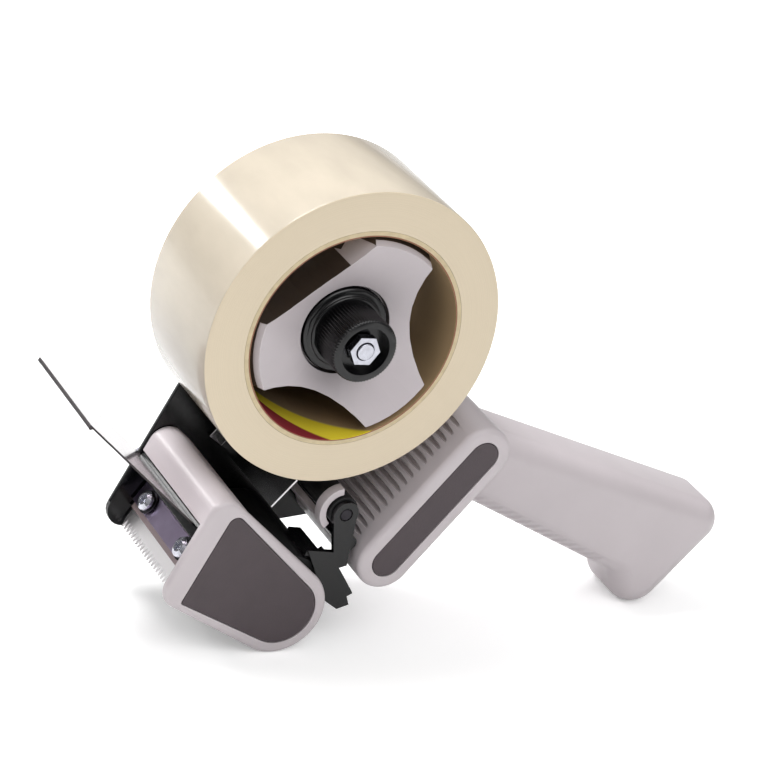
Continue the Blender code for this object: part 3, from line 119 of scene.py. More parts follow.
def add_node(tree: Tree, kind: str, settings: dict | None = None,
             stops: Sequence[tuple[float, Colour]] = ()) -> Node:
    """Adds a shader node with its settings and links.

    Args:
        tree: The node tree it goes in.
        kind: The node's type, without its ShaderNode prefix.
        settings: Values by the name of an attribute, or by the name or number of an input. An input
            that is given a socket is linked to it.
        stops: Places and colours of a colour ramp.

    Returns:
        The node.
    """
    node = tree.nodes.new("ShaderNode" + kind)
    for name, value in (settings or {}).items():
        if isinstance(name, str) and hasattr(node, name):
            setattr(node, name, value)
        elif isinstance(value, Socket):
            tree.links.new(value, node.inputs[name])
        else:
            node.inputs[name].default_value = value
    if stops:
        elements = node.color_ramp.elements
        while len(elements) < len(stops):
            elements.new(1.0)
        for element, (place, colour) in zip(elements, stops):
            element.position, element.color = place, colour
    return node


def tones(colour: str, stops: Stops) -> list[tuple[float, Colour]]:
    """The stops of a colour ramp, from places and shares of one colour."""
    return [(place, shade(colour, share)) for place, share in stops]


def seen_rays(tree: Tree) -> Socket:
    """One on rays that come from the camera, straight or through a clear piece.

    Args:
        tree: The node tree that is added to.

    Returns:
        The share of such rays.
    """
    path = add_node(tree, "LightPath").outputs
    both = add_node(tree, "Math", {"operation": "ADD", 0: path["Is Camera Ray"],
                                   1: path["Is Transmission Ray"]})
    return both.outputs[0]


@dataclass(frozen=True)
class SideView:
    """The side view in which the dispenser is drawn, and its place in the world.

    Attributes:
        axis: The reel axis in the world, as x and z, in millimetres.
        near: The world's y at the roll's near face, in millimetres.
        lean: How far the side view turns, in degrees.
        photo_turn: How far the photographed side view turns against the standing one, in degrees.
    """

    axis: Point = (-45.798, 120.55)
    near: float = -23.375
    lean: float = 2.12506
    photo_turn: float = 13.375

    def origin(self) -> Vector:
        """The side view's origin in the world, in metres."""
        return Vector((self.axis[0], self.near, self.axis[1])) * MM

    def matrix(self) -> Matrix:
        """The matrix from the side view, in millimetres, to the world, in metres."""
        turn = Matrix.Rotation(math.radians(self.lean), 4, "Y")
        return Matrix.Translation(self.origin()) @ turn @ Matrix.Scale(MM, 4)


SIDE = SideView()


# Outlines in the side view


def edge_normal(first: Circle, second: Circle) -> float:
    """The outward angle of a belt's straight run from one circle to the next.

    Args:
        first: The circle that the run leaves.
        second: The circle that it reaches.

    Returns:
        The angle.
    """
    (ax, az, ar), (bx, bz, br) = first, second
    lean = max(-1.0, min(1.0, (ar - br) / math.hypot(bx - ax, bz - az)))
    return math.atan2(bz - az, bx - ax) - math.acos(lean)


def arc(centre: Point, radius: float, start: float, sweep: float, step: float = ROUND_STEP) -> Outline:
    """The points of an arc.

    Args:
        centre: Its centre.
        radius: Its radius in millimetres.
        start: The first point's angle.
        sweep: The angle it runs through.
        step: The largest angle between points.

    Returns:
        The points, both ends included.
    """
    steps = max(1, math.ceil(abs(sweep) / step - WELD))
    return [(centre[0] + radius * math.cos(start + sweep * n / steps),
             centre[1] + radius * math.sin(start + sweep * n / steps)) for n in range(steps + 1)]


def belt(circles: Sequence[Circle], inset: float = 0.0, step: float = ROUND_STEP) -> Outline:
    """The outline of a belt run anticlockwise round circles.

    Args:
        circles: Centres and radii; a negative radius bends the belt inwards.
        inset: How far the whole outline is drawn in.
        step: The largest angle between points of a bend.

    Returns:
        The outline's points.
    """
    closed = list(circles)
    normals = [edge_normal(a, b) for a, b in zip(closed, closed[1:] + closed[:1])]
    points: Outline = []
    for index, (x, z, radius) in enumerate(closed):
        turn = (normals[index] - normals[index - 1]) % math.tau
        if radius < 0:
            turn -= math.tau
        points += arc((x, z), radius - inset, normals[index - 1], turn, step)
    return points


def toward(point: Point, angle: float, length: float) -> Point:
    """A point moved by a length at an angle."""
    return point[0] + length * math.cos(angle), point[1] + length * math.sin(angle)


def local(centre: Point, angle: float) -> Matrix:
    """The matrix from a turned frame (along, depth, height) to the side view."""
    return Matrix.Translation((centre[0], 0, centre[1])) @ Matrix.Rotation(-angle, 4, "Y")


# Meshes, drawn in millimetres in the side view


def add_skin(shape: Shape, rings: Sequence[Sequence[Triple]]) -> None:
    """Adds a closed solid through rings of points.

    Args:
        shape: The mesh it goes in.
        rings: The rings, which all have as many points.
    """
    made = [[shape.verts.new(place) for place in ring] for ring in rings]
    count = len(made[0])
    for first, second in zip(made, made[1:]):
        for n in range(count):
            after = (n + 1) % count
            shape.faces.new((first[n], first[after], second[after], second[n]))
    shape.faces.new(made[0])
    shape.faces.new(made[-1])


def add_loft(shape: Shape, sections: Sequence[tuple[Outline, float]]) -> None:
    """Adds a closed solid through outlines of equal point count, each with its depth."""
    add_skin(shape, [[(x, depth, z) for x, z in outline] for outline, depth in sections])


def add_prism(shape: Shape, outline: Outline, near: float, far: float) -> None:
    """Adds a closed solid that has one outline from its near depth to its far one."""
    add_loft(shape, [(outline, near), (outline, far)])


def add_turned(shape: Shape, profile: Sequence[Point], steps: int, centre: Point = (0.0, 0.0)) -> None:
    """Adds a turned ring whose axis is y.

    Args:
        shape: The mesh it goes in.
        profile: The closed profile, as radius and depth; a radius of zero closes onto the axis.
        steps: How many segments go round.
        centre: The axis in the side view.
    """
    sweep = math.tau * (1 - 1 / steps)
    rings = []
    for radius, depth in profile:
        spots = [centre] if radius < WELD else arc(centre, radius, 0.0, sweep, math.tau / steps)
        rings.append([shape.verts.new((x, depth, z)) for x, z in spots])
    for first, second in zip(rings, rings[1:] + rings[:1]):
        for n in range(steps):
            corners = [first[n % len(first)], first[(n + 1) % len(first)],
                       second[(n + 1) % len(second)], second[n % len(second)]]
            unique = list(dict.fromkeys(corners))
            if len(unique) > 2:
                shape.faces.new(unique)


def rounded(circles: Sequence[Circle], near: float, far: float, near_round: float = 0.0,
            far_round: float = 0.0, layers: int = 10) -> list[tuple[Outline, float]]:
    """The sections of a belt outline drawn from near to far, with rounded edges.

    Args:
        circles: The belt's circles.
        near: The near face's depth.
        far: The far face's depth.
        near_round: The near edge's radius.
        far_round: The far edge's radius.
        layers: How many steps round each edge.

    Returns:
        Outlines with their depths.
    """
    turns = [math.pi / 2 * layer / layers for layer in range(layers)]
    sections = [(belt(circles, near_round * (1 - math.sin(a))), near + near_round * (1 - math.cos(a)))
                for a in turns if near_round]
    sections += [(belt(circles), near + near_round), (belt(circles), far - far_round)]
    sections += [(belt(circles, far_round * (1 - math.sin(a))), far - far_round * (1 - math.cos(a)))
                 for a in reversed(turns) if far_round]
    return sections


def link(name: str, data: bpy.types.ID) -> Thing:
    """Adds an object with its data to the scene.

    Args:
        name: The object's name.
        data: Its data.

    Returns:
        The object.
    """
    thing = bpy.data.objects.new(name, data)
    bpy.context.scene.collection.objects.link(thing)
    return thing


def solid(name: str, build: Builder, place: Matrix = Matrix.Identity(4)) -> Thing:
    """Makes an object from a builder that draws in millimetres.

    Args:
        name: The object's name.
        build: Draws the mesh.
        place: The frame it is drawn in, within the side view.

    Returns:
        The object, at the world's origin, with its mesh in metres.
    """
    shape = bmesh.new()
    build(shape)
    bmesh.ops.remove_doubles(shape, verts=shape.verts, dist=WELD)
    bmesh.ops.recalc_face_normals(shape, faces=shape.faces)
    mesh = bpy.data.meshes.new(name)
    shape.to_mesh(mesh)
    shape.free()
    mesh.transform(SIDE.matrix() @ place)
    return link(name, mesh)


def rod(name: str, centre: Point, radius: float, near: float, far: float, steps: int = 48) -> Thing:
    """Makes a closed round rod along y."""
    return solid(name, lambda shape: add_turned(
        shape, [(0, near), (radius, near), (radius, far), (0, far)], steps, centre))


def carve(thing: Thing, tool: Thing, joinery: Joinery = Joinery.CUT) -> None:
    """Applies an exact Boolean with a tool, and removes the tool.

    Args:
        thing: The piece that is cut or joined.
        tool: The other shape.
        joinery: Whether the tool is cut out of the piece or joined to it.
    """
    boolean = thing.modifiers.new("carve", "BOOLEAN")
    boolean.operation = joinery.value
    boolean.solver = "EXACT"
    boolean.object = tool
    bpy.context.view_layer.update()
    made = bpy.data.meshes.new_from_object(thing.evaluated_get(bpy.context.evaluated_depsgraph_get()))
    thing.modifiers.remove(boolean)
    thing.data = made
    bpy.data.objects.remove(tool, do_unlink=True)


def soften(thing: Thing, width: float, segments: int = 3) -> Thing:
    """Rounds the sharp edges of a piece by modifiers, so that they catch the light.

    Args:
        thing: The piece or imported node.
        width: The rounding's width in millimetres.
        segments: How many faces go round each edge.

    Returns:
        The same object.
    """
    weld = thing.modifiers.new("weld", "WELD")
    weld.merge_threshold = WELD * MM
    flat = thing.modifiers.new("flat", "DECIMATE")
    flat.decimate_type = "DISSOLVE"
    flat.angle_limit = SEAM_ANGLE
    bevel = thing.modifiers.new("edges", "BEVEL")
    bevel.width = width * MM
    bevel.segments = segments
    bevel.limit_method = "ANGLE"
    bevel.angle_limit = SHARP_ANGLE
    bevel.miter_outer = "MITER_ARC"
    bevel.use_clamp_overlap = True
    bevel.harden_normals = True
    return thing


def dress(thing: Thing, material: bpy.types.Material) -> Thing:
    """Gives a piece one material in every slot.

    Args:
        thing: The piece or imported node.
        material: The material.

    Returns:
        The same object.
    """
    thing.data.materials.clear()
    thing.data.materials.append(material)
    return thing


def settle(thing: Thing, body: Body, material: bpy.types.Material,
           replaces: Sequence[str] = (), edge: float = 0.0) -> Thing:
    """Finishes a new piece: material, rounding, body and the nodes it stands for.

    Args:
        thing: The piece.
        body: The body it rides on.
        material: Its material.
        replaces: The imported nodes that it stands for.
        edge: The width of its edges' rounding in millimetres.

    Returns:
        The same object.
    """
    dress(thing, material)
    thing.data.shade_smooth()
    if edge:
        soften(thing, edge)
    else:
        thing.data.set_sharp_from_angle(angle=SHARP_ANGLE)
    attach(thing, body.value)
    if replaces:
        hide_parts(*replaces)
    log.info("%s rides on %s", thing.name, body.value)
    return thing


# Finishes


@dataclass(frozen=True)
class Finish:
    """A surface: its colour and gloss, and the grain that its making gives it.

    Attributes:
        name: The real material's name.
        colour: Its sRGB colour.
        roughness: How dull it is.
        metallic: One for bare metal.
        ior: The refractive index of what isn't metal.
        coat: The weight of a clear coat.
        grain: The size of its grain in millimetres.
        grain_height: The height of its grain in millimetres.
        patch: The size of its patches of other tone in millimetres.
        patch_depth: How much the patches' tone differs.
        gloss_spread: How much its roughness varies.
        stretch: How much longer the grain is along x, y and z.
    """

    name: str
    colour: str
    roughness: float
    metallic: float = 0.0
    ior: float = 1.5
    coat: float = 0.0
    grain: float = 0.5
    grain_height: float = 0.01
    patch: float = 14.0
    patch_depth: float = 0.04
    gloss_spread: float = 0.05
    stretch: Triple = (1.0, 1.0, 1.0)

    def material(self) -> bpy.types.Material:
        """Makes the material.

        Returns:
            The material.
        """
        material = bpy.data.materials.new(self.name)
        material.use_nodes = True
        tree = material.node_tree
        shader = tree.nodes["Principled BSDF"]
        shader.inputs["Metallic"].default_value = self.metallic
        shader.inputs["Coat Weight"].default_value = self.coat
        if not self.metallic:
            shader.inputs["IOR"].default_value = self.ior
        self.paint(tree, shader)
        return material

    def places(self, tree: Tree) -> Socket:
        """The place of each point on the object at rest, in millimetres."""
        spot = add_node(tree, "TexCoord").outputs["Object"]
        return add_node(tree, "VectorMath", {"operation": "MULTIPLY", 0: spot, 1: (1 / MM,) * 3}).outputs[0]

    def noise(self, tree: Tree, size: float, detail: float, stretch: Triple = (1.0, 1.0, 1.0)) -> Socket:
        """Random tone whose features have a size in millimetres, stretched where asked.

        Args:
            tree: The node tree that is added to.
            size: The features' size in millimetres.
            detail: How many finer layers are added.
            stretch: How much longer the features are along x, y and z.

        Returns:
            The noise.
        """
        places = add_node(tree, "VectorMath", {"operation": "DIVIDE", 0: self.places(tree), 1: stretch})
        texture = add_node(tree, "TexNoise", {"Scale": 1 / size, "Detail": detail,
                                              "Vector": places.outputs[0]})
        return texture.outputs[0]

    def facing(self, tree: Tree, direction: Triple) -> Socket:
        """How far the surface faces a direction: one if it does, minus one if it faces away.

        Args:
            tree: The node tree that is added to.
            direction: The direction, as a unit vector.

        Returns:
            The share.
        """
        normal = add_node(tree, "NewGeometry").outputs["Normal"]
        product = add_node(tree, "VectorMath", {"operation": "DOT_PRODUCT", 0: normal, 1: direction})
        return product.outputs["Value"]

    def overlay(self, tree: Tree, shader: Node, share: Socket, colour: str) -> None:
        """Covers the colour that is linked already with another, where a share is one.

        Args:
            tree: The node tree that is added to.
            shader: The material's Principled shader.
            share: Where the other colour covers.
            colour: The other colour, as sRGB hex.
        """
        under = shader.inputs["Base Color"].links[0].from_socket
        tone = add_node(tree, "Mix", {"data_type": "RGBA", 0: share, 6: under, 7: linear(colour)})
        tree.links.new(tone.outputs[2], shader.inputs["Base Color"])

    def paint(self, tree: Tree, shader: Node) -> None:
        """Links colour, roughness and grain to the shader.

        Args:
            tree: The node tree that is added to.
            shader: The material's Principled shader.
        """
        patches = add_node(tree, "ValToRGB", {0: self.noise(tree, self.patch, 4.0)}, tones(
            self.colour, ((0.3, 1 - self.patch_depth), (0.7, 1 + self.patch_depth))))
        grain = self.noise(tree, self.grain, 2.0, self.stretch)
        gloss = add_node(tree, "MapRange", {"Value": grain, "To Min": self.roughness - self.gloss_spread,
                                            "To Max": self.roughness + self.gloss_spread})
        bump = add_node(tree, "Bump", {"Distance": self.grain_height * MM, "Strength": 1.0,
                                       "Height": grain})
        tree.links.new(patches.outputs[0], shader.inputs["Base Color"])
        tree.links.new(gloss.outputs[0], shader.inputs["Roughness"])
        tree.links.new(bump.outputs[0], shader.inputs["Normal"])


@dataclass(frozen=True)
class ReelFinish(Finish):
    """A finish whose pattern follows the reel: how far a point is from the axis, and round it."""

    def spread(self, tree: Tree) -> tuple[Socket, Socket, Socket, Socket]:
        """The way from the reel's near centre as x, depth and z, and the radius, in millimetres.

        Args:
            tree: The node tree that is added to.

        Returns:
            The sockets of x, depth, z and radius.
        """
        away = add_node(tree, "VectorMath", {"operation": "SUBTRACT", 0: self.places(tree),
                                             1: SIDE.origin() / MM}).outputs[0]
        flat = add_node(tree, "VectorMath", {"operation": "MULTIPLY", 0: away, 1: (1, 0, 1)})
        length = add_node(tree, "VectorMath", {"operation": "LENGTH", 0: flat.outputs[0]})
        x, depth, z = add_node(tree, "SeparateXYZ", {0: away}).outputs
        return x, depth, z, length.outputs["Value"]

    def sideways(self, tree: Tree) -> Socket:
        """One where the surface faces along the reel axis, either way, and zero where it runs along it."""
        return add_node(tree, "Math", {"operation": "ABSOLUTE", 0: self.facing(tree, (0, 1, 0))}).outputs[0]


@dataclass(frozen=True)
class WoundFilm(ReelFinish):
    """Clear polypropylene film wound on itself: cut edges on the sides, gloss round the outside.

    Attributes:
        side: The sRGB colour of the side, where the cut edges of the layers scatter light.
        side_roughness: How dull the side is.
        side_turn: How far the surface faces sideways where the outside ends and where the side begins.
        layer: How thick a band of layers shows as a ring, in millimetres. One layer is 0.05, which is
            too fine to show, so the rings are drawn coarser.
        ring_shades: Places and shares of the rings' tones.
        cloud_shades: Places and shares of the outside's cloudy tones.
    """

    side: str = "#DACBB1"
    side_roughness: float = 0.42
    side_turn: Point = (0.4, 0.8)
    layer: float = 0.3
    ring_shades: Stops = ((0.25, 0.96), (0.5, 1.0), (0.75, 1.03))
    cloud_shades: Stops = ((0.32, 0.93), (0.68, 1.07))

    def paint(self, tree: Tree, shader: Node) -> None:
        """Links rings on the sides and cloudy gloss round the outside.

        Args:
            tree: The node tree that is added to.
            shader: The material's Principled shader.
        """
        radius = self.spread(tree)[-1]
        start, end = self.side_turn
        side = add_node(tree, "MapRange", {"Value": self.sideways(tree), "From Min": start,
                                           "From Max": end}).outputs[0]
        rings = add_node(tree, "TexNoise", {"noise_dimensions": "1D", "Scale": 1 / self.layer, "Detail": 3.0,
                                            "W": radius}).outputs[0]
        ringed = add_node(tree, "ValToRGB", {0: rings}, tones(self.side, self.ring_shades))
        cloud = add_node(tree, "ValToRGB", {0: self.noise(tree, self.patch, 4.0, self.stretch)},
                         tones(self.colour, self.cloud_shades))
        tone = add_node(tree, "Mix", {"data_type": "RGBA", 0: side, 6: cloud.outputs[0],
                                      7: ringed.outputs[0]})
        gloss = add_node(tree, "MapRange", {"Value": side, "To Min": self.roughness,
                                            "To Max": self.side_roughness})
        relief = add_node(tree, "Math", {"operation": "MULTIPLY", 0: rings, 1: side})
        bump = add_node(tree, "Bump", {"Distance": self.grain_height * MM, "Height": relief.outputs[0]})
        tree.links.new(tone.outputs[2], shader.inputs["Base Color"])
        tree.links.new(gloss.outputs[0], shader.inputs["Roughness"])
        tree.links.new(bump.outputs[0], shader.inputs["Normal"])


@dataclass(frozen=True)
class LinedBoard(ReelFinish):
    """Kraft board wound in a spiral, with plain coloured bands on the paper that lines its bore.

    Attributes:
        stripe: The sRGB colour of the bright band.
        dark: The sRGB colour of the dark band beside it.
        liner: The sRGB colour of the lining paper's cut edge.
        end: The sRGB colour of the sanded end faces.
        end_shades: Places and shares of the end faces' tones.
        bore: The radius of the bore in millimetres.
        lined: How far outside that radius a point still counts as on the lining, in millimetres.
        liner_width: How broad the lining's cut edge shows, in millimetres.
        pitch: How far the bands climb along the bore in a turn, in millimetres.
        band_ends: The shares of a turn at which plain board, dark band and bright band end.
        band_blur: How soft those ends are, as a share of a turn.
    """

    stripe: str = "#F2DC30"
    dark: str = "#8A1C28"
    liner: str = "#8C5A48"
    end: str = "#CDBD9B"
    end_shades: Stops = ((0.3, 0.9), (0.7, 1.06))
    bore: float = 38.1
    lined: float = 0.1
    liner_width: float = 0.5
    pitch: float = 210.0
    band_ends: tuple[float, float, float] = (0.595, 0.745, 0.81)
    band_blur: float = 0.005

    def bands(self, tree: Tree, x: Socket, depth: Socket, z: Socket) -> Socket:
        """The colour of the bore, with its bands in a spiral.

        Args:
            tree: The node tree that is added to.
            x: The way from the reel axis along x.
            depth: The way behind the roll's near face.
            z: The way from the reel axis along z.

        Returns:
            The colour.
        """
        turn = add_node(tree, "Math", {"operation": "ARCTAN2", 0: z, 1: x})
        share = add_node(tree, "Math", {"operation": "DIVIDE", 0: turn.outputs[0], 1: math.tau})
        climb = add_node(tree, "Math", {"operation": "DIVIDE", 0: depth, 1: self.pitch})
        both = add_node(tree, "Math", {"operation": "ADD", 0: share.outputs[0], 1: climb.outputs[0]})
        spiral = add_node(tree, "Math", {"operation": "FRACT", 0: both.outputs[0]})
        colours = [linear(tone) for tone in (self.colour, self.dark, self.stripe, self.colour)]
        stops = [(0.0, colours[0])]
        for place, before, after in zip(self.band_ends, colours, colours[1:]):
            stops += [(place, before), (place + self.band_blur, after)]
        return add_node(tree, "ValToRGB", {0: spiral.outputs[0]}, stops).outputs[0]

    def paint(self, tree: Tree, shader: Node) -> None:
        """Links kraft fibres and the spiral bands.

        Args:
            tree: The node tree that is added to.
            shader: The material's Principled shader.
        """
        x, depth, z, radius = self.spread(tree)
        inside = add_node(tree, "Math", {"operation": "LESS_THAN", 0: radius, 1: self.bore + self.lined})
        edge = add_node(tree, "Math", {"operation": "LESS_THAN", 0: radius, 1: self.bore + self.liner_width})
        fibre = self.noise(tree, self.grain, 3.0, self.stretch)
        plain = add_node(tree, "ValToRGB", {0: fibre}, tones(self.end, self.end_shades))
        cut = add_node(tree, "Mix", {"data_type": "RGBA", 0: edge.outputs[0], 6: plain.outputs[0],
                                     7: linear(self.liner)})
        lined = add_node(tree, "Mix", {"data_type": "RGBA", 0: inside.outputs[0], 6: cut.outputs[2],
                                       7: self.bands(tree, x, depth, z)})
        bump = add_node(tree, "Bump", {"Distance": self.grain_height * MM, "Height": fibre})
        shader.inputs["Roughness"].default_value = self.roughness
        tree.links.new(lined.outputs[2], shader.inputs["Base Color"])
        tree.links.new(bump.outputs[0], shader.inputs["Normal"])


@dataclass(frozen=True)
class ClearSheet(Finish):
    """Clear sheet: what lies behind it shows through, and it mirrors at a grazing angle.

    Attributes:
        clearness: The share of light that passes through.
    """

    clearness: float = 0.92

    def paint(self, tree: Tree, shader: Node) -> None:
        """Links a faint tint and lets light through."""
        super().paint(tree, shader)
        shader.inputs["Transmission Weight"].default_value = self.clearness


@dataclass(frozen=True)
class ShearedSheet(Finish):
    """Enamelled sheet with bare steel at its sheared near edge, painted bright there as a painted highlight
    on that edge.

    Attributes:
        bare: The sRGB colour of the bare edge, bright as a painted highlight.
        bare_turn: How far the surface faces the near side where enamel ends and where all is bare.
    """

    bare: str = "#E6E2E4"
    bare_turn: Point = (0.3, 0.5)

    def paint(self, tree: Tree, shader: Node) -> None:
        """Links the enamel, and bright bare steel, a painted highlight, on what faces the near side.

        Args:
            tree: The node tree that is added to.
            shader: The material's Principled shader.
        """
        super().paint(tree, shader)
        start, end = self.bare_turn
        # the near-facing faces are painted bright and metallic: a painted highlight on the sheared edge
        edge = add_node(tree, "MapRange", {"Value": self.facing(tree, (0, -1, 0)), "From Min": start,
                                           "From Max": end}).outputs[0]
        self.overlay(tree, shader, edge, self.bare)
        tree.links.new(edge, shader.inputs["Metallic"])


@dataclass(frozen=True)
class HubFinish(ReelFinish):
    """Moulded plastic with painted shade, a dark brown, on its deep inner walls and in a strip round its
    outside.

    Attributes:
        painted_shade: The sRGB colour of the painted shade on the deep walls and in the strip.
        lip: The depth at which the painted shade on the walls begins, from the roll's near face, in
            millimetres.
        lip_blur: How soft that beginning is, in millimetres.
        wall_turn: How far a wall may face sideways.
        strip: The middle depth and half the breadth of the strip of painted shade round the hub's outside.
        strip_radius: The radius outside which that strip lies, in millimetres.
    """

    # painted shade: the dark brown colour painted on the deep walls and in the strip
    painted_shade: str = "#3C322C"
    lip: float = -5.0
    lip_blur: float = 1.0
    wall_turn: float = 0.1
    strip: Point = (1.2, 4.2)
    strip_radius: float = 36.4

    def paint(self, tree: Tree, shader: Node) -> None:
        """Links the plastic, and painted shade on walls that run along the reel axis and in the strip.

        Args:
            tree: The node tree that is added to.
            shader: The material's Principled shader.
        """
        super().paint(tree, shader)
        _, depth, _, radius = self.spread(tree)
        middle, half = self.strip
        # the deep walls and the strip round the outside are painted dark brown: painted shade, not dirt
        within = add_node(tree, "Math", {"operation": "COMPARE", 0: depth, 1: middle, 2: half})
        outer = add_node(tree, "Math", {"operation": "GREATER_THAN", 0: radius, 1: self.strip_radius})
        strip = add_node(tree, "Math", {"operation": "MULTIPLY", 0: within.outputs[0], 1: outer.outputs[0]})
        wall = add_node(tree, "Math", {"operation": "LESS_THAN", 0: self.sideways(tree), 1: self.wall_turn})
        deep = add_node(tree, "MapRange", {"Value": depth, "From Min": self.lip,
                                           "From Max": self.lip + self.lip_blur})
        walls = add_node(tree, "Math", {"operation": "MULTIPLY", 0: wall.outputs[0], 1: deep.outputs[0]})
        painted_shade_mask = add_node(tree, "Math", {"operation": "MAXIMUM", 0: walls.outputs[0], 1: strip.outputs[0]})
        self.overlay(tree, shader, painted_shade_mask.outputs[0], self.painted_shade)


@dataclass(frozen=True)
class Finishes:
    """Every finish of the dispenser."""

    # Satin ABS from a spark-eroded mould: soft wide highlights over a fine even grain
    grey: Finish = Finish("abs_light_grey_moulded", "#C3BBBE", 0.33, grain=0.45, grain_height=0.008,
                          patch=20.0, patch_depth=0.025)
    # The same ABS, with painted shade, dark brown, on its deep inner walls and in a strip round its outside
    hub: HubFinish = HubFinish("abs_light_grey_painted_shade", "#C3BBBE", 0.36, grain=0.45, grain_height=0.008,
                               patch=20.0, patch_depth=0.025)
    # Ground spring steel: a bright even mirror with fine lines across the edge
    blade: Finish = Finish("ground_spring_steel", "#FBF8F9", 0.42, metallic=1.0, grain=0.3,
                           grain_height=0.0005, patch=12.0, patch_depth=0.01, gloss_spread=0.04,
                           stretch=(6.0, 1.0, 6.0))
    # Enamelled sheet with a bare sheared edge, painted bright as a painted highlight: black faces and one
    # bright line
    sheared: ShearedSheet = ShearedSheet("sheared_enamelled_sheet_painted_highlight", "#08080A", 0.24, grain=1.6,
                                         grain_height=0.01, patch_depth=0.2)
    # Acetal, moulded: whiter and a little waxy
    white: Finish = Finish("acetal_white_moulded", "#E4E2DB", 0.34, ior=1.48, grain=0.5)
    # ABS in black from a polished mould: sharp small highlights
    black: Finish = Finish("abs_black_moulded", "#08080A", 0.24, grain=0.6, grain_height=0.006,
                           patch_depth=0.15)
    # Stove enamel over steel sheet: glossy, with the faint waves of sprayed paint
    enamel: Finish = Finish("black_enamel_on_steel", "#08080A", 0.2, grain=1.6, grain_height=0.012,
                            patch_depth=0.2, gloss_spread=0.06)
    # Zinc plate, rolled and passivated: grey-blue, cloudy from barrel plating
    zinc: Finish = Finish("zinc_plated_steel", "#C6C7D0", 0.22, metallic=1.0, grain=1.2, grain_height=0.02,
                          patch=1.8, patch_depth=0.12, gloss_spread=0.08)
    # Cold-rolled strip with a violet passivation: brushed along its length
    strip_steel: Finish = Finish("passivated_steel_strip", "#B0A2BC", 0.3, metallic=1.0, grain=0.35,
                                 grain_height=0.008, patch=9.0, patch_depth=0.10, stretch=(1.0, 14.0, 1.0))
    # Blued steel washers: dark and half dull
    blued: Finish = Finish("blued_steel", "#3A383C", 0.34, metallic=1.0, grain=0.4, patch=3.0,
                           patch_depth=0.12)
    # Vinyl inlay with a fine leather-like emboss: dull dark brown
    vinyl: Finish = Finish("embossed_vinyl_inlay", "#473D41", 0.5, grain=0.55, grain_height=0.05,
                           patch=8.0, patch_depth=0.05)
    # Vulcanised fibre strip: dull, with fibres along it
    fibre: Finish = Finish("vulcanised_fibre", "#8C7C7C", 0.6, grain=0.4, grain_height=0.02,
                           stretch=(1.0, 8.0, 1.0), patch_depth=0.08)
    # Clear polyester sheet: takes the tone of what is behind it, under a pale sheen
    sheet: ClearSheet = ClearSheet("clear_polyester_sheet", "#A79EA2", 0.12, ior=1.57, grain=1.2,
                                   grain_height=0.002, patch=18.0, patch_depth=0.03, gloss_spread=0.03)
    # The sheet's punched edges, painted dark: painted shade for the clear sheet's edges
    sheet_edge: Finish = Finish("polyester_cut_edge", "#2A2224", 0.5, grain=0.4, patch_depth=0.15)
    # Nitrile rubber, ground round: dull black
    rubber: Finish = Finish("nitrile_rubber", "#151516", 0.58, ior=1.52, grain=0.5, grain_height=0.03,
                            patch_depth=0.12)
    # Wool felt: dull and woolly
    felt: Finish = Finish("wool_felt", "#8C4A40", 0.9, grain=0.7, grain_height=0.2, patch=2.0,
                          patch_depth=0.15)
    # Clear film wound tight: cream and cloudy in depth, with sharp white glare round the outside
    film: WoundFilm = WoundFilm("polypropylene_film_wound", "#BAB0A0", 0.16, ior=1.49, coat=0.25,
                                grain_height=0.06, patch=16.0, stretch=(1.0, 2.4, 1.0))
    # Kraft board: dull and fibrous outside, with printed bands on the paper in its bore
    board: LinedBoard = LinedBoard("kraft_board_tube", "#A58A66", 0.82, grain=0.5, grain_height=0.04,
                                   stretch=(5.0, 1.0, 5.0))


# Sub-assemblies


@dataclass
class Workshop:
    """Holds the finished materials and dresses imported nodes.

    Attributes:
        finishes: The finishes of the dispenser.
        made: The materials made so far, by finish name.
    """

    finishes: Finishes
    made: dict[str, bpy.types.Material]

    def material(self, finish: Finish) -> bpy.types.Material:
        """The material of a finish, made once.

        Args:
            finish: The finish.

        Returns:
            The material.
        """
        if finish.name not in self.made:
            self.made[finish.name] = finish.material()
        return self.made[finish.name]

    def dress_nodes(self, finish: Finish, edge: float, *nodes: str) -> None:
        """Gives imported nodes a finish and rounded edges.

        Args:
            finish: Their finish.
            edge: The width of their edges' rounding in millimetres.
            nodes: Their names.
        """
        for node in nodes:
            thing = dress(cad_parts[node], self.material(finish))
            if edge:
                soften(thing, edge, 2)
            log.info("%s is dressed in %s", node, finish.name)


@dataclass(frozen=True)
class Posts:
    """The screw posts inside a moulding, each with a pilot hole in its far end.

    Attributes:
        radius: A post's radius.
        near: The depth of its root, within the moulding's near wall.
        far: The depth of its far end.
        pilot: The pilot hole's radius.
        pilot_near: The depth of the pilot hole's bottom.
    """

    radius: float
    near: float
    far: float = 49.4
    pilot: float = 2.1
    pilot_near: float = 39.7

    def add_to(self, moulding: Thing, *centres: Point) -> None:
        """Joins a post to the moulding at each centre, and drills it.

        Args:
            moulding: The moulding.
            centres: The posts' middles.
        """
        for centre in centres:
            carve(moulding, rod("post", centre, self.radius, self.near, self.far), Joinery.WELD)
            carve(moulding, rod("pilot", centre, self.pilot, self.pilot_near, self.far + OVERRUN))


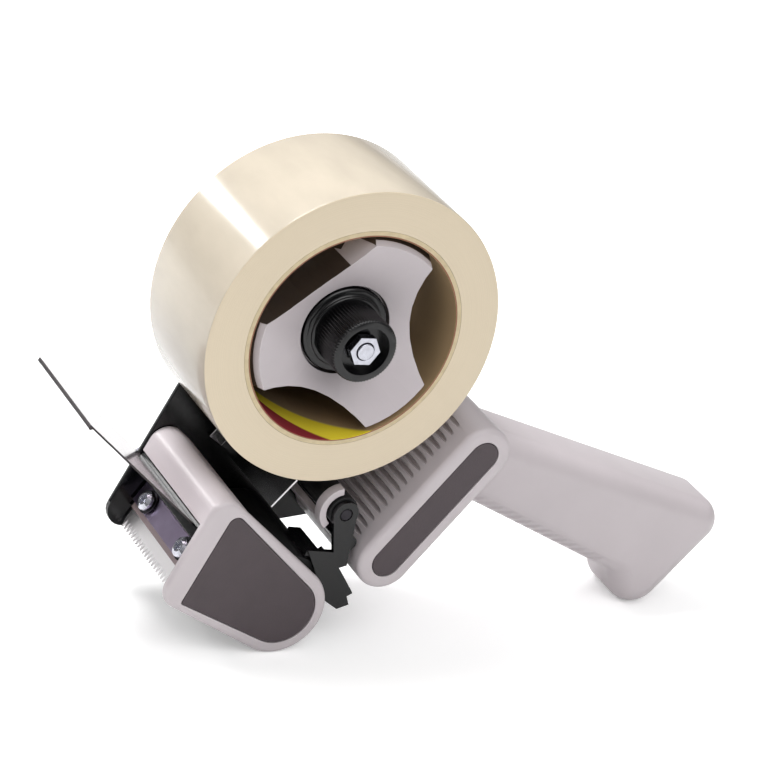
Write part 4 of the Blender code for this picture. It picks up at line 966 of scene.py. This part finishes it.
@dataclass
class Reel:
    """The roll of tape, its core, the hub, and the knob that brakes it. Lengths are in millimetres.

    Attributes:
        roll_radius: The roll's outer radius.
        width: The tape's width.
        bore: The core's bore radius.
        core_radius: The core's outer radius.
        gap: The play between roll and core.
        rim: The rounding of the roll's outer edges.
        inner_rim: The rounding of the core's edges and of the roll's inner ones.
        steps: How many segments go round them.
        knob_radius: The radius of the knob's ridged part.
        knob_front: The depth of its front.
        knob_round: The sections of its rounded front edge: how far each is drawn in, its share of the
            ridges' height, and how far it lies behind the front.
        knob_web: The depth of the web's near face, and its thickness.
        knob_far: The depth of the knob's far end.
        knob_base: The base's radius.
        base_height: How high the base is.
        base_bend: The radius of its bent edge.
        base_chamfer: The size of its far edge's chamfer.
        knob_step: The radius of the step on the base.
        step_height: How high the step is.
        step_bend: The radius of its bent edge.
        step_fillet: How far the fillet at its foot runs outwards, and up the step.
        knob_cavity: The radius of the hollow behind the web.
        knob_recess: The radius of the recess before the web.
        bolt_hole: The radius of the hole through the web.
        knurls: How many ridges go round the knob.
        knurl_depth: How deep the furrows between them are.
        knurl_shape: The share of that depth at each point from one ridge to the next.
        spring_radius: The radius of the coil's middle line.
        spring_wire: The wire's radius.
        spring_near: The depth of the coil's near end.
        spring_far: The depth of its far end.
        spring_turns: How many turns it has.
        spring_steps: How many sections a turn has.
        spring_sides: How many sides the wire has.
    """

    roll_radius: float = 54.4
    width: float = 48.0
    bore: float = 38.1
    core_radius: float = 40.1
    gap: float = 0.06
    rim: float = 0.45
    inner_rim: float = 0.1
    steps: int = 240
    knob_radius: float = 11.8
    knob_front: float = -8.8
    knob_round: tuple[Triple, ...] = ((0.9, 0.0, 0.0), (0.25, 0.5, 0.35), (0.0, 1.0, 0.9))
    knob_web: Point = (-4.6, 2.8)
    knob_far: float = 9.3
    knob_base: float = 15.7
    base_height: float = 2.4
    base_bend: float = 1.1
    base_chamfer: float = 0.3
    knob_step: float = 13.1
    step_height: float = 1.3
    step_bend: float = 0.7
    step_fillet: Point = (0.5, 0.4)
    knob_cavity: float = 9.1
    knob_recess: float = 8.8
    bolt_hole: float = 3.3
    knurls: int = 66
    knurl_depth: float = 0.5
    knurl_shape: tuple[float, ...] = (0.0, 0.15, 0.85, 1.0, 0.85, 0.15)
    spring_radius: float = 7.4
    spring_wire: float = 0.6
    spring_near: float = -0.4
    spring_far: float = 7.7
    spring_turns: int = 4
    spring_steps: int = 48
    spring_sides: int = 12

    def ring_profile(self, inner: float, outer: float, rim: float) -> list[Point]:
        """The closed profile of a ring as broad as the tape, with its outer edges rounded by the rim.

        Args:
            inner: Its inner radius.
            outer: Its outer radius.
            rim: Its outer edges' rounding.

        Returns:
            The profile, as radius and depth.
        """
        lip = self.inner_rim
        corners = [(outer - rim, rim, -90, rim), (outer - rim, self.width - rim, 0, rim),
                   (inner + lip, self.width - lip, 90, lip), (inner + lip, lip, 180, lip)]
        profile: list[Point] = []
        for radius, depth, start, bend in corners:
            profile += arc((radius, depth), bend, math.radians(start), math.pi / 2, math.radians(22.5))
        return profile

    def build(self, shop: Workshop) -> None:
        """Builds the roll and core and dresses the hub.

        Args:
            shop: The workshop with the materials.
        """
        roll = solid("wound_tape", lambda shape: add_turned(
            shape, self.ring_profile(self.core_radius + self.gap, self.roll_radius, self.rim), self.steps))
        settle(roll, Body.REEL, shop.material(shop.finishes.film), ["tape_roll"])
        core = solid("board_core", lambda shape: add_turned(
            shape, self.ring_profile(self.bore, self.core_radius, self.inner_rim), self.steps))
        settle(core, Body.REEL, shop.material(shop.finishes.board), ["core"])
        shop.dress_nodes(shop.finishes.hub, 0.45, "hub")
        shop.dress_nodes(shop.finishes.felt, 0.2, "friction_washer")
        self.build_knob(shop)

    def knurled(self, radius: float, depth: float) -> Outline:
        """A round outline with rounded ridges.

        Args:
            radius: The radius over the ridges.
            depth: How deep the furrows are.

        Returns:
            The outline.
        """
        count = self.knurls * len(self.knurl_shape)
        return [toward((0, 0), math.tau * n / count,
                       radius - depth * self.knurl_shape[n % len(self.knurl_shape)]) for n in range(count)]

    def build_knob(self, shop: Workshop) -> None:
        """Builds the knurled knob as one cup with a stepped base.

        Args:
            shop: The workshop with the materials.
        """
        sections = [(self.knurled(self.knob_radius - inset, self.knurl_depth * share),
                     self.knob_front + rise) for inset, share, rise in self.knob_round]
        base_near = self.knob_far - self.base_height
        ridges = sections[-1][0]
        grip = solid("knurled_knob", lambda shape: add_loft(shape, [*sections, (ridges, base_near + 0.5)]))

        def bent(radius: float, depth: float, bend: float) -> Outline:
            """The profile of an edge at a radius, bent inwards to a depth nearer the front."""
            return [(radius - bend + bend * math.cos(a), depth + bend - bend * math.sin(a))
                    for a in (0.0, 0.4, 0.8, 1.2, math.pi / 2)]

        chamfer, (outwards, upwards) = self.base_chamfer, self.step_fillet
        step_near = base_near - self.step_height
        base = solid("base", lambda shape: add_turned(shape, [
            (0, self.knob_far), (self.knob_base - chamfer, self.knob_far),
            (self.knob_base, self.knob_far - chamfer), *bent(self.knob_base, base_near, self.base_bend),
            (self.knob_step + outwards, base_near), (self.knob_step, base_near - upwards),
            *bent(self.knob_step, step_near, self.step_bend), (0, step_near)], 120))
        carve(grip, base, Joinery.WELD)
        front, back = self.knob_front - OVERRUN, self.knob_far + OVERRUN
        web, thickness = self.knob_web
        for radius, near, far in ((self.knob_cavity, web + thickness, back), (self.knob_recess, front, web),
                                  (self.bolt_hole, front, back)):
            carve(grip, rod("bore", (0, 0), radius, near, far, 96))
        settle(grip, Body.KNOB, shop.material(shop.finishes.black), ["knob"], 0.12)
        shop.dress_nodes(shop.finishes.zinc, 0.35, "lock_nut", "hub_bolt")
        shop.dress_nodes(shop.finishes.zinc, 0.15, "jam_nut", "bolt_sleeve", "pressure_washer", "spring_cup")
        self.build_spring(shop)

    def build_spring(self, shop: Workshop) -> None:
        """Builds the brake's coil at rest, on no body, in place of the imported spring.

        Args:
            shop: The workshop with the materials.
        """
        low, high = self.spring_near + self.spring_wire, self.spring_far - self.spring_wire
        count = self.spring_turns * self.spring_steps

        def ring(n: int) -> list[Triple]:
            """The wire's section at a step of the coil.

            Args:
                n: The step, counted from the near end.

            Returns:
                The section's points.
            """
            angle, depth = math.tau * n / self.spring_steps, low + (high - low) * n / count
            places = []
            for k in range(self.spring_sides):
                turn = math.tau * k / self.spring_sides
                x, z = toward((0, 0), angle, self.spring_radius + self.spring_wire * math.cos(turn))
                places.append((x, depth + self.spring_wire * math.sin(turn), z))
            return places

        coil = dress(solid("brake_coil", lambda shape: add_skin(shape, [ring(n) for n in range(count + 1)])),
                     shop.material(shop.finishes.zinc))
        coil.data.shade_smooth()
        coil.data.set_sharp_from_angle(angle=SHARP_ANGLE)
        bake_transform(coil)
        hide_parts("brake_spring")


@dataclass
class Head:
    """The moulded head with its inlay, blade and applicator roller. Lengths are in millimetres.

    Attributes:
        nose: The round of the nose.
        corner: The round of the low front corner.
        lobe: The round of the lobe that holds the roller.
        roller: The roller's axis, which is set back from the lobe's centre.
        back_post: The centre of the post behind the wall.
        near: The near face's depth.
        flange: The depth of the flange's inner face.
        far: The far face's depth.
        edge: The radius of the near edge.
        wall: The wall's thickness.
        lip: How far the wall runs on past the nose, down the front.
        back_run: How far it runs on past the nose, down the back.
        front_reach: How far the hollow stands out of the head at its front.
        foot_reach: How far it runs along the front from there.
        back_reach: How far it stands out at the back.
        outside: A point past the lobe, which the hollow's outline passes.
        posts: The screw posts.
        inlay: The rounds of the inlay's outline.
        inlay_depth: How deep its seat is.
        gap: The play round it.
        socket: The bore and outer radius of the ring that holds the roller's axle.
        socket_far: The depth of that ring's far end.
    """

    nose: Circle = (-33.486, -66.983, 7.0)
    corner: Circle = (-41.843, -94.084, 8.0)
    lobe: Circle = (-2.983, -103.632, 17.1)
    roller: Point = (-1.112, -102.049)
    back_post: Point = (-16.815, -83.815)
    near: float = -4.5
    flange: float = -2.2
    far: float = 49.4
    edge: float = 1.8
    wall: float = 2.4
    lip: float = 5.0
    back_run: float = 5.5
    front_reach: float = 20.0
    foot_reach: float = 60.0
    back_reach: float = 40.0
    outside: Point = (40.0, -140.0)
    posts: Posts = Posts(4.2, -3.2)
    inlay: tuple[Circle, ...] = ((-29.027, -69.072, 3.0), (-41.616, -98.829, 0.8), (-2.983, -103.632, 12.6))
    inlay_depth: float = 1.2
    gap: float = 0.3
    socket: Point = (4.3, 6.3)
    socket_far: float = 2.0

    def cavity(self) -> Outline:
        """The outline of the head's hollow, which is open at its front, foot and back.

        Returns:
            The outline.
        """
        before, after = edge_normal(self.lobe, self.nose), edge_normal(self.nose, self.corner)
        inner = arc(self.nose[:2], self.nose[2] - self.wall, before, (after - before) % math.tau)
        start = toward(inner[0], before + math.pi / 2, -self.back_run)
        end = toward(inner[-1], after + math.pi / 2, self.lip)
        front = toward(end, after, self.front_reach)
        foot = toward(front, after + math.pi / 2, self.foot_reach)
        return [start, *inner, end, front, foot, self.outside, toward(start, before, self.back_reach)]

    def build(self, shop: Workshop) -> None:
        """Builds the moulding and dresses the rest.

        Args:
            shop: The workshop with the materials.
        """
        finishes = shop.finishes
        shell = solid("head_moulding", lambda shape: add_loft(
            shape, rounded([self.nose, self.corner, self.lobe], self.near, self.far, self.edge)))
        carve(shell, solid("hollow", lambda shape: add_prism(
            shape, self.cavity(), self.flange, self.far + OVERRUN)))
        self.posts.add_to(shell, self.nose[:2], self.back_post)
        (bore, outer), root = self.socket, self.posts.near
        carve(shell, solid("socket", lambda shape: add_turned(
            shape, [(bore, root), (outer, root), (outer, self.socket_far), (bore, self.socket_far)],
            48, self.roller)), Joinery.WELD)
        carve(shell, solid("inlay_seat", lambda shape: add_prism(
            shape, belt(self.inlay, -self.gap), self.near - OVERRUN, self.near + self.inlay_depth)))
        settle(shell, Body.FRAME, shop.material(finishes.grey), ["head_shell"], 0.35)
        shop.dress_nodes(finishes.vinyl, 0.2, "head_label")
        shop.dress_nodes(finishes.strip_steel, 0.12, "blade_clamp_bar")
        shop.dress_nodes(finishes.fibre, 0.1, "blade_spacer")
        shop.dress_nodes(finishes.blade, 0.0, "blade")
        shop.dress_nodes(finishes.enamel, 0.3, "blade_holder", "flap_clamp_bar")
        shop.dress_nodes(finishes.blued, 0.1, "blade_washer_1", "blade_washer_2")
        shop.dress_nodes(finishes.zinc, 0.12, "blade_screw_1", "blade_screw_2")
        shop.dress_nodes(finishes.white, 0.3, "applicator_core")
        shop.dress_nodes(finishes.rubber, 0.4, "applicator_tyre")
        shop.dress_nodes(finishes.zinc, 0.4, "applicator_axle")


@dataclass
class Flap:
    """The thin springy flap that lays the tape down, with a bead under its tip. Lengths in millimetres.

    Attributes:
        root: Where it is clamped.
        angle: Which way it points, in degrees.
        length: How far it reaches.
        thickness: The sheet's thickness.
        near: Its near edge's depth.
        far: Its far edge's depth.
        bead: The bead's radius.
        bead_share: Where the bead's middle lies, as a share of the length.
        bead_step: The largest angle between points of the bead.
        stations: How many steps the sheet has along its length.
        face_turn: How far a face may lean from the sheet's plane and not be a cut edge.
    """

    root: Point = (-42.827, -70.980)
    angle: float = 140.8
    length: float = 59.0
    thickness: float = 0.7
    near: float = 1.0
    far: float = 49.0
    bead: float = 0.8
    bead_share: float = 0.985
    bead_step: float = math.radians(20.0)
    stations: int = 24
    face_turn: float = math.radians(50.0)

    def section(self) -> Outline:
        """The sheet's side view, in its own frame, with the bead under its tip.

        Returns:
            The outline.
        """
        half = self.thickness / 2
        middle = self.length * self.bead_share
        along = [self.length * n / self.stations for n in range(self.stations + 1)]
        under = arc((middle, half), self.bead, 0.0, math.pi, self.bead_step)
        return [*((x, -half) for x in along), (self.length, half), *(p for p in under if p[0] < self.length),
                *((x, half) for x in reversed(along) if x < middle - self.bead)]

    def build(self, shop: Workshop) -> None:
        """Builds the sheet with pale faces and dark edges.

        Args:
            shop: The workshop with the materials.
        """
        turn = local(self.root, math.radians(self.angle))
        sheet = solid("flap_sheet", lambda shape: add_prism(
            shape, self.section(), self.near, self.far), turn)
        settle(sheet, Body.FLAP, shop.material(shop.finishes.sheet), ["flap"])
        # the cut edges take a dark material: painted shade
        sheet.data.materials.append(shop.material(shop.finishes.sheet_edge))
        across = ((SIDE.matrix() @ turn).to_3x3() @ Vector((0, 0, 1))).normalized()
        for face in sheet.data.polygons:
            if abs(face.normal.dot(across)) < math.cos(self.face_turn):
                face.material_index = 1


@dataclass
class RearBody:
    """The ribbed moulding behind the roll, with its long inlay. Lengths are in millimetres.

    Attributes:
        low: The low end of its middle line.
        high: The high end of its middle line.
        radius: Half its breadth.
        near: The near face's depth.
        far: The far face's depth.
        edge: The radius of the near edge.
        wall: The wall's thickness.
        angle: Which way the bar leans, in degrees.
        face: How far its roll side is from the reel axis.
        along: Where the grooves begin and end along that side.
        groove_count: How many grooves there are.
        groove_pitch: How far apart their middles are.
        groove_width: A groove's width at the face.
        groove_floor: The share of that width that its flat bottom takes.
        groove_depth: A groove's depth.
        groove_start: The depth from the roll's near face at which a groove begins.
        groove_ramp: How far it runs until it is full.
        groove_sections: Sections of that ramp, as shares of its run, the groove's depth and its width.
        posts: The screw posts.
        inlay_radius: Half the inlay's breadth.
        inlay_depth: How deep its seat is.
        gap: The play round it.
    """

    low: Point = (33.803, -84.552)
    high: Point = (61.035, -42.618)
    radius: float = 11.0
    near: float = -4.5
    far: float = 49.4
    edge: float = 2.2
    wall: float = 2.5
    angle: float = 57.0
    face: float = 63.4
    along: Point = (-52.5, -2.5)
    groove_count: int = 17
    groove_pitch: float = 3.4
    groove_width: float = 2.3
    groove_floor: float = 0.55
    groove_depth: float = 1.3
    groove_start: float = 3.2
    groove_ramp: float = 6.0
    groove_sections: tuple[Triple, ...] = ((0.0, -0.0154, 0.45), (0.4, 0.62, 0.8), (1.0, 1.0, 1.0))
    posts: Posts = Posts(4.4, -3.25)
    inlay_radius: float = 5.6
    inlay_depth: float = 1.2
    gap: float = 0.3

    def circles(self, inset: float = 0.0) -> list[Circle]:
        """The two ends of its outline."""
        return [(*self.low, self.radius - inset), (*self.high, self.radius - inset)]

    def grooves(self) -> Thing:
        """The cutter of the grooves, each with a long ramp at its near end.

        Returns:
            The cutter.
        """
        half, floor = self.groove_width / 2, self.groove_width / 2 * self.groove_floor
        top = OVERRUN - self.face
        sections = [(self.groove_start + self.groove_ramp * run, -self.face - self.groove_depth * fall,
                     share) for run, fall, share in self.groove_sections]
        sections.append((self.far + OVERRUN, *sections[-1][1:]))

        def draw(shape: Shape) -> None:
            """Draws the grooves side by side.

            Args:
                shape: The mesh that is drawn in.
            """
            for n in range(self.groove_count):
                middle = sum(self.along) / 2 + self.groove_pitch * (n - (self.groove_count - 1) / 2)
                rings = []
                for depth, low, share in sections:
                    corners = ((-half, top), (-half, -self.face), (-floor, low), (floor, low),
                               (half, -self.face), (half, top))
                    rings.append([(middle + x * share, depth, z) for x, z in corners])
                add_skin(shape, rings)

        return solid("grooves", draw, local((0.0, 0.0), math.radians(self.angle)))

    def build(self, shop: Workshop) -> None:
        """Builds the moulding and dresses its inlay.

        Args:
            shop: The workshop with the materials.
        """
        body = solid("rear_moulding", lambda shape: add_loft(
            shape, rounded(self.circles(), self.near, self.far, self.edge)))
        carve(body, self.grooves())
        carve(body, solid("hollow", lambda shape: add_prism(
            shape, belt(self.circles(self.wall)), self.near + self.wall, self.far + OVERRUN)))
        self.posts.add_to(body, self.low, self.high)
        inner = self.circles(self.radius - self.inlay_radius)
        carve(body, solid("inlay_seat", lambda shape: add_prism(
            shape, belt(inner, -self.gap), self.near - OVERRUN, self.near + self.inlay_depth)))
        settle(body, Body.FRAME, shop.material(shop.finishes.grey), ["rear_body"], 0.3)
        shop.dress_nodes(shop.finishes.vinyl, 0.2, "rear_label")


@dataclass
class Handle:
    """The grip, with slanting finger grooves along its lower near edge. Lengths are in millimetres.

    Attributes:
        circles: The rounds of its outline, anticlockwise; a negative radius is the hook's inner bend.
        near: Its near face's depth.
        far: Its far face's depth.
        rounding: The radius of its long edges.
        seat_gap: The play between it and the rear body.
        groove_count: How many grooves there are.
        groove_radius: A groove's radius.
        groove_depth: How deep it cuts.
        groove_pitch: How far apart the grooves are.
        groove_first: How far the first is from the edge's beginning.
        groove_length: A groove's length.
        slant: How far the grooves slant, in degrees.
    """

    circles: tuple[Circle, ...] = ((57.929, -52.753, 10.0), (140.031, -104.085, -4.0),
                                   (156.408, -103.722, 11.1), (175.302, -80.429, 9.5),
                                   (64.608, -48.161, 10.0))
    near: float = 8.0
    far: float = 38.0
    rounding: float = 8.5
    seat_gap: float = 0.3
    groove_count: int = 15
    groove_radius: float = 1.7
    groove_depth: float = 0.8
    groove_pitch: float = 5.0
    groove_first: float = 15.0
    groove_length: float = 16.0
    slant: float = 28.0

    def finger_grooves(self) -> Thing:
        """The cutter of the finger grooves: short slanting rods across the rounded edge.

        Returns:
            The cutter.
        """
        low, bend = self.circles[0], self.circles[1]
        normal = edge_normal(low, bend)
        down = Vector((math.cos(normal), 0, math.sin(normal)))
        along = Vector((math.cos(normal + math.pi / 2), 0, math.sin(normal + math.pi / 2)))
        near = Vector((0, -1, 0))
        start = Vector((low[0], self.near + self.rounding, low[1])) + down * (low[2] - self.rounding)
        outward = (down + near).normalized()
        tilt = math.radians(self.slant)
        axis = (down - near).normalized() * math.cos(tilt) - along * math.sin(tilt)
        reach = self.rounding + self.groove_radius - self.groove_depth

        def draw(shape: Shape) -> None:
            """Draws the rods side by side.

            Args:
                shape: The mesh that is drawn in.
            """
            for n in range(self.groove_count):
                made = bmesh.ops.create_uvsphere(shape, u_segments=20, v_segments=12,
                                                 radius=self.groove_radius)["verts"]
                for vert in made:
                    vert.co.z *= self.groove_length / 2 / self.groove_radius
                bmesh.ops.rotate(shape, verts=made, matrix=axis.to_track_quat("Z", "Y").to_matrix())
                bmesh.ops.translate(shape, verts=made, vec=start + outward * reach
                                    + along * (self.groove_first + n * self.groove_pitch))

        return solid("finger_grooves", draw)

    def build(self, shop: Workshop, rear: RearBody) -> None:
        """Builds the grip against the rear body.

        Args:
            shop: The workshop with the materials.
            rear: The rear body that the grip is seated on.
        """
        grip = solid("grip_moulding", lambda shape: add_loft(
            shape, rounded(self.circles, self.near, self.far, self.rounding, self.rounding, 16)))
        carve(grip, solid("seat", lambda shape: add_prism(
            shape, belt(rear.circles(-self.seat_gap)), self.near - OVERRUN, self.far + OVERRUN)))
        carve(grip, self.finger_grooves())
        settle(grip, Body.FRAME, shop.material(shop.finishes.grey), ["handle"], 0.3)


@dataclass
class Chassis:
    """The side plate with its screws, and the small rollers, guides and bracket that it carries.

    Attributes:
        plate_edge: The rounding of the larger pieces' edges, in millimetres.
        screw_edge: The rounding of the small ones' edges, in millimetres.
    """

    plate_edge: float = 0.35
    screw_edge: float = 0.2

    def build(self, shop: Workshop) -> None:
        """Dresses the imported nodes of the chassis.

        Args:
            shop: The workshop with the materials.
        """
        finishes = shop.finishes
        shop.dress_nodes(finishes.enamel, self.plate_edge, "side_plate")
        shop.dress_nodes(finishes.black, self.plate_edge, "guide_bracket")
        shop.dress_nodes(finishes.grey, self.plate_edge, "tape_guide")
        shop.dress_nodes(finishes.sheared, self.screw_edge, "guide_strip")
        shop.dress_nodes(finishes.blued, self.screw_edge, "tension_axle")
        shop.dress_nodes(finishes.rubber, self.plate_edge, "tension_roller")
        shop.dress_nodes(finishes.zinc, self.screw_edge, "head_screw_nose", "head_screw_back",
                         "blade_holder_screw", "flap_clamp_screw", "rear_screw_low", "rear_screw_high",
                         "bracket_screw", "guide_strip_screw", "handle_screw_1", "handle_screw_2")


# Studio


@dataclass(frozen=True)
class Lamp:
    """A soft box, placed from what it points at along the camera's directions.

    Attributes:
        name: Its name.
        way: How far it stands to the right, up and back, in metres.
        size: Its sides, in metres; the second lies along the reel axis as far as it can.
        power: Its power in watts.
        at_roll: Whether it points at the roll, and not at the dispenser's middle.
    """

    name: str
    way: Triple
    size: Point
    power: float
    at_roll: bool = False


@dataclass
class Studio:
    """The camera at the photograph's angle, a pale floor and soft light.

    Attributes:
        azimuth: The camera's angle round the photographed side view, in degrees.
        elevation: Its height angle, in degrees.
        focal: Its focal length in picture elements.
        distance: Its distance from the roll's near face, in millimetres.
        centre: Where the roll's near face centre lies in the picture.
        sensor: The sensor's width in millimetres.
        middle: The middle of the dispenser, at which most lamps point, in metres.
        lamps: The soft boxes.
        ambient: How bright the surround is overhead.
        horizon: How bright it is low down.
        room: The upward shares of a direction between which it grows brighter.
        floor_side: The floor's side in metres.
        glow: How bright the floor is of itself under the dispenser, as the camera sees it.
        glow_span: How far from the dispenser, in metres, it begins to grow whiter and is all white.
    """

    azimuth: float = -25.7
    elevation: float = 31.3
    focal: float = 3000.0
    distance: float = 3000.0 / 2.99
    centre: Point = (354.5, 339.9)
    sensor: float = 36.0
    middle: Triple = (0.0, 0.0, 0.09)
    lamps: tuple[Lamp, ...] = (Lamp("key", (-0.22, 0.75, 0.25), (0.3, 0.4), 6.4),
                               Lamp("rim", (-0.61, 0.64, -0.17), (0.11, 0.55), 2.2, True),
                               Lamp("fill", (0.5, 0.35, 0.9), (0.8, 0.8), 4.9))
    ambient: float = 0.7
    horizon: float = 0.16
    room: Point = (0.1, 0.9)
    floor_side: float = 6.0
    glow: float = 0.3
    glow_span: Point = (0.2, 0.8)

    def axes(self) -> tuple[Vector, Vector, Vector]:
        """The camera's right, up and back directions in the world.

        Returns:
            The three unit vectors.
        """
        azimuth, elevation = math.radians(self.azimuth), math.radians(self.elevation)
        back = Vector((math.sin(azimuth) * math.cos(elevation), -math.cos(azimuth) * math.cos(elevation),
                       math.sin(elevation)))
        right = Vector((math.cos(azimuth), math.sin(azimuth), 0))
        turn = Matrix.Rotation(-math.radians(SIDE.photo_turn), 3, "Y")
        return turn @ right, turn @ back.cross(right), turn @ back

    def camera(self) -> None:
        """Makes the camera that sees the dispenser as the photograph does."""
        right, up, back = self.axes()
        half = PICTURE_SIDE / 2
        across = (self.centre[0] - half) * self.distance / self.focal
        rise = (half - self.centre[1]) * self.distance / self.focal
        data = bpy.data.cameras.new("camera")
        data.sensor_width = self.sensor
        data.lens = self.sensor * self.focal / PICTURE_SIDE
        data.clip_start, data.clip_end = 0.05, 50.0
        camera = link("camera", data)
        place = SIDE.origin() + (back * self.distance - right * across - up * rise) * MM
        camera.matrix_world = Matrix.Translation(place) @ Matrix((right, up, back)).transposed().to_4x4()
        bpy.context.scene.camera = camera

    def light(self, lamp: Lamp) -> None:
        """Adds a soft box.

        Args:
            lamp: The soft box.
        """
        data = bpy.data.lights.new(lamp.name, "AREA")
        data.shape = "RECTANGLE"
        data.size, data.size_y = lamp.size
        data.energy = lamp.power
        target = SIDE.origin() if lamp.at_roll else Vector(self.middle)
        place = target + sum((axis * step for axis, step in zip(self.axes(), lamp.way)), Vector())
        back = (place - target).normalized()
        side = Vector((0, 1, 0)).cross(back).normalized()
        turn = Matrix((side, back.cross(side), back)).transposed().to_4x4()
        link(lamp.name, data).matrix_world = Matrix.Translation(place) @ turn

    def world(self) -> None:
        """Makes a surround that the camera sees as white, and other rays as brighter overhead."""
        world = bpy.data.worlds.new("surround")
        bpy.context.scene.world = world
        world.use_nodes = True
        tree = world.node_tree
        tree.nodes.clear()
        spot = add_node(tree, "TexCoord").outputs["Generated"]
        height = add_node(tree, "SeparateXYZ", {0: spot}).outputs["Z"]
        low, high = self.room
        room = add_node(tree, "MapRange", {"Value": height, "From Min": low, "From Max": high,
                                           "To Min": self.horizon, "To Max": self.ambient})
        strength = add_node(tree, "MapRange", {"Value": seen_rays(tree), "To Min": room.outputs[0],
                                               "To Max": 1.0})
        light = add_node(tree, "Background", {"Color": WHITE, "Strength": strength.outputs[0]})
        add_node(tree, "OutputWorld", {"Surface": light.outputs[0]})

    def floor(self) -> None:
        """Makes the pale floor, white to the camera but for the dispenser's shadow."""
        mesh = bpy.data.meshes.new("floor")
        half = self.floor_side / 2
        mesh.from_pydata([(-half, -half, 0), (half, -half, 0), (half, half, 0), (-half, half, 0)], [],
                         [(0, 1, 2, 3)])
        floor = link("floor", mesh)
        material = bpy.data.materials.new("white_paper_sweep")
        material.use_nodes = True
        tree = material.node_tree
        tree.nodes.clear()
        paper = add_node(tree, "BsdfDiffuse", {"Color": linear("#F4F4F4")})
        spot = add_node(tree, "TexCoord").outputs["Object"]
        away = add_node(tree, "VectorMath", {"operation": "LENGTH", 0: spot}).outputs["Value"]
        start, end = self.glow_span
        bright = add_node(tree, "MapRange", {"Value": away, "From Min": start, "From Max": end,
                                             "To Min": self.glow})
        shown = add_node(tree, "Math", {"operation": "MULTIPLY", 0: seen_rays(tree), 1: bright.outputs[0]})
        glow = add_node(tree, "Emission", {"Color": WHITE, "Strength": shown.outputs[0]})
        both = add_node(tree, "AddShader", {0: paper.outputs[0], 1: glow.outputs[0]})
        add_node(tree, "OutputMaterial", {"Surface": both.outputs[0]})
        dress(floor, material)

    def build(self) -> None:
        """Sets the camera, the lights and the floor."""
        bpy.context.scene.view_settings.view_transform = "Standard"
        self.camera()
        self.world()
        self.floor()
        for lamp in self.lamps:
            self.light(lamp)


def main() -> None:
    """Builds every sub-assembly and the studio."""
    logging.basicConfig(level=logging.INFO, format="%(name)s: %(message)s")
    shop = Workshop(Finishes(), {})
    rear = RearBody()
    Studio().build()
    Reel().build(shop)
    Head().build(shop)
    Flap().build(shop)
    rear.build(shop)
    Handle().build(shop, rear)
    Chassis().build(shop)
    log.info("the looks are complete")


if __name__ == "__main__":
    main()
